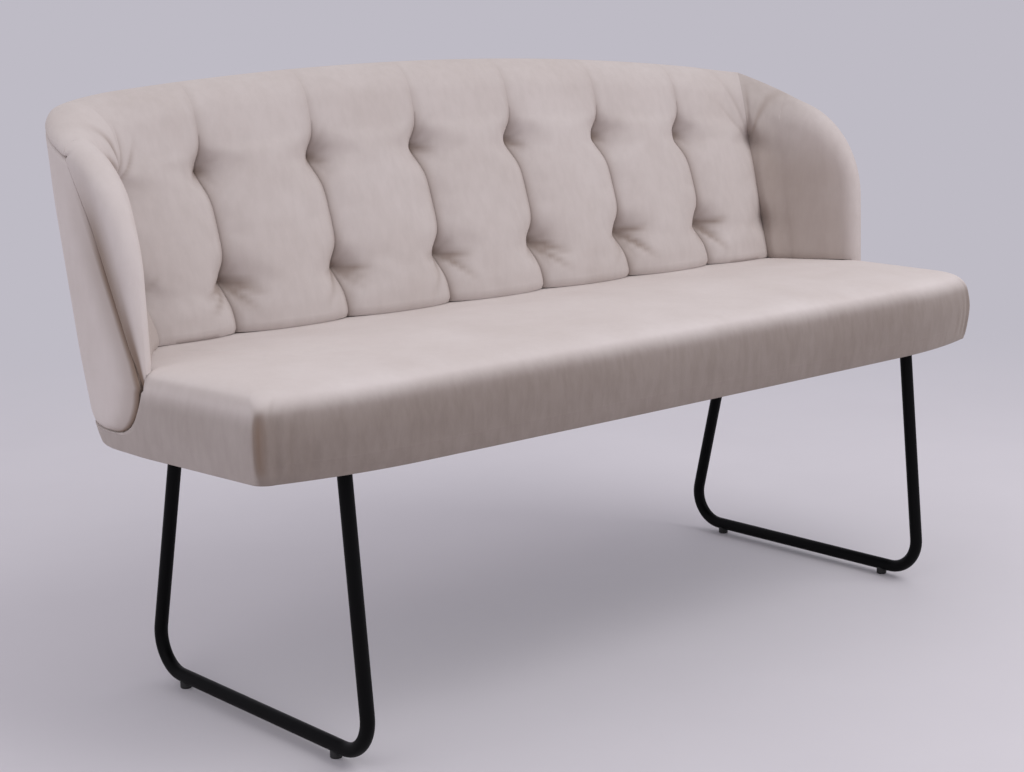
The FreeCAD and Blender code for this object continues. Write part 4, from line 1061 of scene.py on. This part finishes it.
def crease_corners(ring, level):
    """Draws a ring in at its front corners, where the border's pieces are sewn together, and
    gives the painted shade in that crease and beside its puckers.
    """
    front_half = SEAT_FRONT_HALF - SEAT_CORNER * ARC_CUT
    front = -SEAT_CORNER_REACH + SEAT_CORNER * ARC_CUT
    starts, ends = ([SEAT_BOTTOM + height for height in heights]
                    for heights in (CREASE_STARTS, CREASE_ENDS))
    high = smooth_step(level, *starts) * (1 - smooth_step(level, *ends))
    fold = np.zeros(len(ring))
    moved = ring.copy()
    for way in (-1, 1):
        aside = (ring[:, 0] - way * front_half) * -way
        beyond = ring[:, 1] - front
        reach = np.hypot(aside, beyond)
        on_front = smooth_step(aside, -CREASE_TURN, CREASE_TURN)
        draw = CREASE_DEPTH * bell(reach, CREASE_WIDTH)
        shade = CREASE_SHADE * bell(reach, CREASE_WIDTH * SHADE_WIDENING)
        for place, depth, width, top in CORNER_PUCKERS:
            near = bell(reach - place, width) * on_front
            near = near * (1 - smooth_step(level, top - PUCKER_END, top))
            draw = draw + depth * near
            shade = shade + PUCKER_SHADE * depth * near
        near_front = smooth_step(-beyond, *CREASE_REACH)
        draw = draw * high * near_front
        moved[:, 0] -= way * ROOT_HALF * draw * (1 - on_front * 0.6)
        moved[:, 1] += ROOT_HALF * draw * (1 + on_front * 0.4)
        fold = np.maximum(fold, shade * high * near_front)
    return moved, np.clip(fold, 0, CREASE_SHADE)


def spine_of(ring):
    """The line on the top that a ring closes to: its front and rear points in pairs."""
    count = len(ring)
    quarter = count // 2
    other = (quarter - np.arange(count)) % count
    spine = ring.copy()
    spine[:, 0] = (ring[:, 0] + ring[other, 0]) / 2
    limit = HALF_WIDTH - SPINE_END
    spine[:, 0] = np.clip(spine[:, 0], -limit, limit)
    spine[:, 1] = SEAT_MIDDLE
    return spine


def make_seat():
    """The seat cushion: drawn in below, rounded and crowned, puckered at its edge."""
    rings = seat_rings()
    under = rings[0].copy()
    under[:, 2] += UNDER_RISE
    hollow = spine_of(under)
    for share in UNDER_SHARES:
        rings.insert(0, under + (hollow - under) * share)
    last = rings[-1]
    spine = spine_of(last)
    for share in np.linspace(0, 1, SEAT_TOP_RINGS)[1:]:
        ring = last + (spine - last) * share
        ring[:, 2] = last[:, 2] + SEAT_CROWN * (1 - (1 - share) ** 2)
        rings.append(ring)
    low, high = PRESSED_HEIGHTS
    for ring in rings[len(UNDER_SHARES) + 1:]:
        above = smooth_step(ring[:, 2], SEAT_BOTTOM + low, SEAT_BOTTOM + high)
        ring[:, 2] -= seat_dip(ring[:, 1]) * above
    piece = skin_loops("seat_pad", [crease_corners(ring, ring[0, 2]) for ring in rings],
                       closed_ends=False)
    # Painted nap shade: full on the front border, lessened on the sides and gone above their
    # shoulder, and fading on faces that look upwards
    normals = vectors(piece, "normal")
    sideways = smooth_step(np.abs(normals[:, 0]), *SIDEWAYS)
    shoulder = smooth_step(vectors(piece)[:, 2], *SIDE_SHOULDER)
    nap_shaded = 1 - sideways * (1 - SIDE_NAP_SHADE * (1 - shoulder))
    add_share(piece, "nap_shade", nap_shaded * (1 - smooth_step(normals[:, 2], *UPWARDS)))
    return piece


SHEET_INSET = 0.021
SHEET_LEVEL = 0.3838
SHEET_THICKNESS = 0.0007
SHEET_SAG = 0.0012
SHEET_SHARES = (0.0, 0.012, 0.03, 0.06, 0.12, 0.25, 0.45, 0.7, 1.0)
SHEET_HEM = 0.03
# The sag between two staples: their distance, its depth and its place on the sheet
TACK_PITCH = 0.055
TACK_PUCKER = 0.0004
TACK_PLACE = 0.06


def make_dust_sheet():
    """The cloth stapled under the seat: a thin sheet, turned in at its edge, that sags."""
    edge = seat_ring(SHEET_LEVEL, SHEET_INSET, SHEET_INSET, False)
    slack = 0.5 - 0.5 * np.cos(arc_lengths(edge) / TACK_PITCH * 2 * math.pi)
    spine = spine_of(edge)
    top = []
    for share in SHEET_SHARES:
        ring = edge + (spine - edge) * share
        hang = SHEET_SAG * (1 - (1 - share) ** 3)
        turned = SHEET_THICKNESS * (1 if share < SHEET_HEM else 0)
        puckered = TACK_PUCKER * slack * bell(share - TACK_PLACE, TACK_PLACE)
        ring[:, 2] = SHEET_LEVEL - hang * 0.4 - puckered - turned
        top.append(ring)
    upper = [ring + np.array([0, 0, SHEET_THICKNESS + (SHEET_THICKNESS if index < 2 else 0)])
             for index, ring in enumerate(top)]
    made = [(ring, np.zeros(len(ring))) for ring in top[::-1] + upper]
    return skin_loops("dust_sheet", made, closed_ends=False)


def shade_evenly(piece, nap_shade):
    # Paints the same nap shade over the whole piece
    add_share(piece, "nap_shade", np.full(len(piece.data.vertices), nap_shade))
    return piece


# Materials

PILE_STREAK = (85.0, 85.0, 24.0)
# Brown tone that the painted nap shade darkens the velour towards
NAP_SHADE_TONE = (0.42, 0.387, 0.358, 1)
# Tone of the painted shade in folds, seams, tufts, creases and grooves
FOLD_SHADE_TONE = (128, 108, 94)


def add_node(tree, kind, **inputs):
    node = tree.nodes.new(kind)
    for name, value in inputs.items():
        node.inputs[name.replace("_", " ")].default_value = value
    return node


def wire(tree, source, output, target, field):
    """Joins an output of one node to an input of another."""
    tree.links.new(source.outputs[output], target.inputs[field])


def new_material(name):
    material = bpy.data.materials.new(name)
    material.use_nodes = True
    tree = material.node_tree
    tree.nodes.clear()
    output = add_node(tree, "ShaderNodeOutputMaterial")
    shader = add_node(tree, "ShaderNodeBsdfPrincipled")
    wire(tree, shader, "BSDF", output, "Surface")
    return material, tree, shader


def linear(red, green, blue):
    """A colour given in screen values, as linear light."""
    values = []
    for value in (red, green, blue):
        share = value / 255
        values.append(share / 12.92 if share <= 0.04045 else ((share + 0.055) / 1.055) ** 2.4)
    return (*values, 1.0)


def add_noise(tree, scale, detail=2.0, roughness=0.5, stretch=(1, 1, 1)):
    """Noise over the object's own coordinates, stretched along its axes."""
    place = add_node(tree, "ShaderNodeTexCoord")
    shape = add_node(tree, "ShaderNodeMapping", Scale=stretch)
    noise = add_node(tree, "ShaderNodeTexNoise", Scale=scale, Detail=detail,
                     Roughness=roughness)
    wire(tree, place, "Object", shape, "Vector")
    wire(tree, shape, "Vector", noise, "Vector")
    return noise


def add_ramp(tree, noise, colours, places=(0.3, 0.7)):
    """The noise turned into a tone between two colours."""
    tone = add_node(tree, "ShaderNodeValToRGB")
    for element, place, colour in zip(tone.color_ramp.elements, places, colours):
        element.position = place
        element.color = colour
    wire(tree, noise, "Fac", tone, "Fac")
    return tone


def add_mix(tree, factor, base, blend="MIX"):
    """A colour mix; its factor and its base are given as a node and an output."""
    mix = add_node(tree, "ShaderNodeMix")
    mix.data_type = "RGBA"
    mix.blend_type = blend
    wire(tree, *factor, mix, "Factor")
    wire(tree, *base, mix, "A")
    return mix


def add_bump(tree, noise, shader, strength, distance):
    bump = add_node(tree, "ShaderNodeBump", Strength=strength, Distance=distance)
    wire(tree, noise, "Fac", bump, "Height")
    wire(tree, bump, "Normal", shader, "Normal")


def make_velour():
    """Short-pile velour: soft colour drift, fine pile, and painted shade in its folds.

    The nap shade share is painted shade: how far the colour is darkened as if the pile lay
    against the light.
    """
    material, tree, shader = new_material("greige_velour")
    for name, value in (("Roughness", 0.88), ("Specular IOR Level", 0.25),
                        ("Sheen Weight", 0.35), ("Sheen Roughness", 0.45),
                        ("Sheen Tint", linear(238, 228, 220))):
        shader.inputs[name].default_value = value
    drift = add_noise(tree, scale=9.0, detail=4.0, roughness=0.55)
    streak = add_noise(tree, scale=1.0, detail=3.0, roughness=0.6, stretch=PILE_STREAK)
    pile = add_noise(tree, scale=1500.0, roughness=0.6)
    tone = add_ramp(tree, drift, (linear(206, 196, 193), linear(214, 205, 203)))
    streaks = add_ramp(tree, streak, ((0.84, 0.83, 0.82, 1), (1, 1, 1, 1)), (0.35, 0.62))
    # Painted nap shade: this share darkens the colour towards a brown tone, and makes the pile
    # streaks stronger
    nap_shade = add_node(tree, "ShaderNodeAttribute")
    nap_shade.attribute_name = "nap_shade"
    # Painted shade in folds, seams, tufts, creases and grooves: this share mixes in a dark
    # brown tone
    fold = add_node(tree, "ShaderNodeAttribute")
    fold.attribute_name = "fold"
    strength = add_node(tree, "ShaderNodeMapRange", To_Min=0.12, To_Max=0.60)
    wire(tree, nap_shade, "Fac", strength, "Value")
    streaked = add_mix(tree, (strength, "Result"), (tone, "Color"), "MULTIPLY")
    wire(tree, streaks, "Color", streaked, "B")
    nap_shaded = add_mix(tree, (nap_shade, "Fac"), (streaked, "Result"), "MULTIPLY")
    nap_shaded.inputs["B"].default_value = NAP_SHADE_TONE
    fold_shaded = add_mix(tree, (fold, "Fac"), (nap_shaded, "Result"))
    fold_shaded.inputs["B"].default_value = linear(*FOLD_SHADE_TONE)
    wire(tree, fold_shaded, "Result", shader, "Base Color")
    add_bump(tree, pile, shader, strength=0.35, distance=0.0006)
    return material


def make_powder_coat():
    """Satin black powder coat with its fine orange-peel grain."""
    material, tree, shader = new_material("black_powder_coat")
    shader.inputs["Specular IOR Level"].default_value = 0.10
    drift = add_noise(tree, scale=22.0, detail=3.0)
    tone = add_ramp(tree, drift, (linear(2, 2, 3), linear(4, 4, 5)), (0.0, 1.0))
    wire(tree, tone, "Color", shader, "Base Color")
    gloss = add_node(tree, "ShaderNodeMapRange", To_Min=0.40, To_Max=0.55)
    wire(tree, drift, "Fac", gloss, "Value")
    wire(tree, gloss, "Result", shader, "Roughness")
    add_bump(tree, add_noise(tree, scale=1400.0), shader, strength=0.2, distance=0.0002)
    return material


def make_plain(name, dark, light, scale, roughness, metal=0.0, stretch=(1, 1, 1)):
    """A material whose tone drifts between two screen colours over a stretched noise."""
    material, tree, shader = new_material(name)
    shader.inputs["Metallic"].default_value = metal
    shader.inputs["Roughness"].default_value = roughness
    noise = add_noise(tree, scale, detail=5.0, roughness=0.6, stretch=stretch)
    tone = add_ramp(tree, noise, (linear(*dark), linear(*light)))
    wire(tree, tone, "Color", shader, "Base Color")
    add_bump(tree, noise, shader, strength=0.15, distance=0.0002)
    return material


def set_material(piece, material):
    piece.data.materials.clear()
    piece.data.materials.append(material)


def dress_nodes():
    """Gives each carried-over node its own finish."""
    plastic = make_plain("black_plastic", (22, 22, 22), (38, 38, 38), 60, 0.6)
    ply = make_plain("birch_ply", (186, 154, 112), (214, 186, 146), 14, 0.65,
                     stretch=(0.15, 4, 4))
    pine = make_plain("pine", (190, 150, 104), (218, 182, 136), 12, 0.7, stretch=(0.2, 5, 5))
    zinc = make_plain("zinc_plate", (150, 152, 156), (190, 192, 196), 90, 0.35, metal=1.0)
    # Dark fleece on the shell, toned like the painted fold shade, so that where it shows in
    # seams and gaps it stands in for shade
    shade_fleece = make_plain("shell_fleece_shade", (112, 96, 86), (134, 118, 108), 300, 0.95)
    coat = make_powder_coat()
    finishes = {"leg_frame": coat, "leg_plate": coat, "glide": plastic, "bolt": zinc,
                "nut": zinc, "back_shell": shade_fleece, "seat_board": ply, "cleat": pine}
    for name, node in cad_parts.items():
        for word, material in finishes.items():
            if word in name:
                set_material(node, material)


# Camera, stage and light

CAMERA_PLACE = (-1.8666, -1.9769, 0.9088)
CAMERA_YAW = math.radians(42.024)
CAMERA_PITCH = math.radians(11.222)
CAMERA_ROLL = math.radians(-0.801)
FOCAL_PIXELS = 1863.3
IMAGE_WIDTH = 1024
SENSOR_WIDTH = 36.0


def make_camera():
    data = bpy.data.cameras.new("camera")
    data.sensor_width = SENSOR_WIDTH
    data.lens = FOCAL_PIXELS / IMAGE_WIDTH * SENSOR_WIDTH
    camera = add_to_scene("camera", data)
    ahead = Vector((math.sin(CAMERA_YAW) * math.cos(CAMERA_PITCH),
                    math.cos(CAMERA_YAW) * math.cos(CAMERA_PITCH),
                    -math.sin(CAMERA_PITCH)))
    level_right = Vector((math.cos(CAMERA_YAW), -math.sin(CAMERA_YAW), 0))
    level_up = level_right.cross(ahead)
    right = level_right * math.cos(CAMERA_ROLL) + level_up * math.sin(CAMERA_ROLL)
    up = level_up * math.cos(CAMERA_ROLL) - level_right * math.sin(CAMERA_ROLL)
    turn = Matrix((right, up, -ahead)).transposed().to_4x4()
    camera.matrix_world = Matrix.Translation(CAMERA_PLACE) @ turn
    bpy.context.scene.camera = camera


FLOOR_HALF = 30.0
# How far out the floor keeps its shadows, and from where on it is plain
LIT_REACH = 1.1
PLAIN_REACH = 3.2
BACKGROUND = (190, 187, 197)
SKY = (232, 230, 236)
SKY_STRENGTH = 0.82
# Lamps: name, place, aim, width and height, power and colour
LAMPS = (("window", (1.2, -2.6, 3.8), (0, 0, 0.5), (3.0, 3.0), 77, (1.0, 0.992, 0.982)),
         ("side_fill", (-3.2, -0.4, 1.8), (-0.7, 0.1, 0.5), (2.0, 2.0), 9,
          (1.0, 0.985, 0.965)))


def rays_to_backdrop(tree):
    """1 for the rays that show the background: straight, mirrored and through glass."""
    path = add_node(tree, "ShaderNodeLightPath")
    node, output = path, "Is Camera Ray"
    for name in ("Is Glossy Ray", "Is Transmission Ray"):
        either = add_node(tree, "ShaderNodeMath")
        either.operation = "MAXIMUM"
        wire(tree, node, output, either, 0)
        wire(tree, path, name, either, 1)
        node, output = either, "Value"
    return node, output


def make_stage():
    """A pale floor that keeps the shadow and turns into the plain background further out."""
    corners = [(x * FLOOR_HALF, y * FLOOR_HALF, 0)
               for x, y in ((-1, -1), (1, -1), (1, 1), (-1, 1))]
    floor = make_object("floor", corners, [(0, 1, 2, 3)])
    material = make_plain("pale_floor", (214, 210, 216), (219, 215, 221), 1.2, 0.6)
    tree = material.node_tree
    output = next(node for node in tree.nodes if node.type == "OUTPUT_MATERIAL")
    shader = next(node for node in tree.nodes if node.type == "BSDF_PRINCIPLED")
    plain = add_node(tree, "ShaderNodeEmission", Color=linear(*BACKGROUND))
    place = add_node(tree, "ShaderNodeTexCoord")
    reach = add_node(tree, "ShaderNodeVectorMath")
    reach.operation = "LENGTH"
    wire(tree, place, "Object", reach, 0)
    far = add_node(tree, "ShaderNodeMapRange", From_Min=LIT_REACH, From_Max=PLAIN_REACH)
    far.interpolation_type = "SMOOTHSTEP"
    wire(tree, reach, "Value", far, "Value")
    share = add_node(tree, "ShaderNodeMath")
    share.operation = "MULTIPLY"
    wire(tree, far, "Result", share, 0)
    wire(tree, *rays_to_backdrop(tree), share, 1)
    choice = add_node(tree, "ShaderNodeMixShader")
    wire(tree, share, "Value", choice, 0)
    wire(tree, shader, "BSDF", choice, 1)
    wire(tree, plain, "Emission", choice, 2)
    wire(tree, choice, "Shader", output, "Surface")
    set_material(floor, material)


def add_lamp(name, place, aim, size, power, colour):
    data = bpy.data.lights.new(name, "AREA")
    data.shape = "RECTANGLE"
    data.size, data.size_y = size
    data.energy = power
    data.color = colour
    lamp = add_to_scene(name, data)
    lamp.location = place
    lamp.rotation_euler = (Vector(aim) - Vector(place)).to_track_quat("-Z", "Y").to_euler()


def make_light():
    """Soft lamps, an even sky, and a pale background for the camera alone."""
    for lamp in LAMPS:
        add_lamp(*lamp)
    world = bpy.data.worlds.new("studio")
    world.use_nodes = True
    tree = world.node_tree
    sky = tree.nodes["Background"]
    sky.inputs["Color"].default_value = linear(*SKY)
    sky.inputs["Strength"].default_value = SKY_STRENGTH
    shown = add_node(tree, "ShaderNodeBackground", Color=linear(*BACKGROUND))
    choice = add_node(tree, "ShaderNodeMixShader")
    wire(tree, *rays_to_backdrop(tree), choice, 0)
    wire(tree, sky, "Background", choice, 1)
    wire(tree, shown, "Background", choice, 2)
    wire(tree, choice, "Shader", tree.nodes["World Output"], "Surface")
    bpy.context.scene.world = world
    bpy.context.scene.view_settings.view_transform = "Standard"


# Assembly

def add_piece(piece, material, nodes):
    set_material(piece, material)
    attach(piece, "root")
    for node in nodes:
        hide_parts(node)
    return piece


# Which side a corner channel is on, and the seeds of all channels' folds
CORNER_WAYS = {1: -1, 7: 1}
CHANNEL_SEEDS = (11, 21, 24, 27, 30, 33, 41)
WING_SEED = 51


def build():
    velour = make_velour()
    dress_nodes()
    add_piece(make_seat(), velour, ["seat_cushion"])
    for number, seed in enumerate(CHANNEL_SEEDS, 1):
        name = f"back_pad_{number}"
        if number in CORNER_WAYS:
            pad = make_corner_channel(name, CORNER_WAYS[number], seed)
        else:
            pad = make_flat_channel(name, (number - 4) * PITCH, seed)
        add_piece(pad, velour, [f"back_channel_{number}"])
    for side, way in (("left", -1), ("right", 1)):
        add_piece(make_wing(side + "_wing", way, WING_SEED + way), velour,
                  [side + "_wing_pad", side + "_wing_edge"])
    add_piece(make_outer_cover(), velour, ["back_outer_cover"])
    cloth = make_plain("dust_cloth", (20, 20, 21), (34, 34, 36), 500, 0.95)
    add_piece(make_dust_sheet(), cloth, ["dust_cover"])
    make_camera()
    make_stage()
    make_light()


build()
bpy.context.view_layer.update()
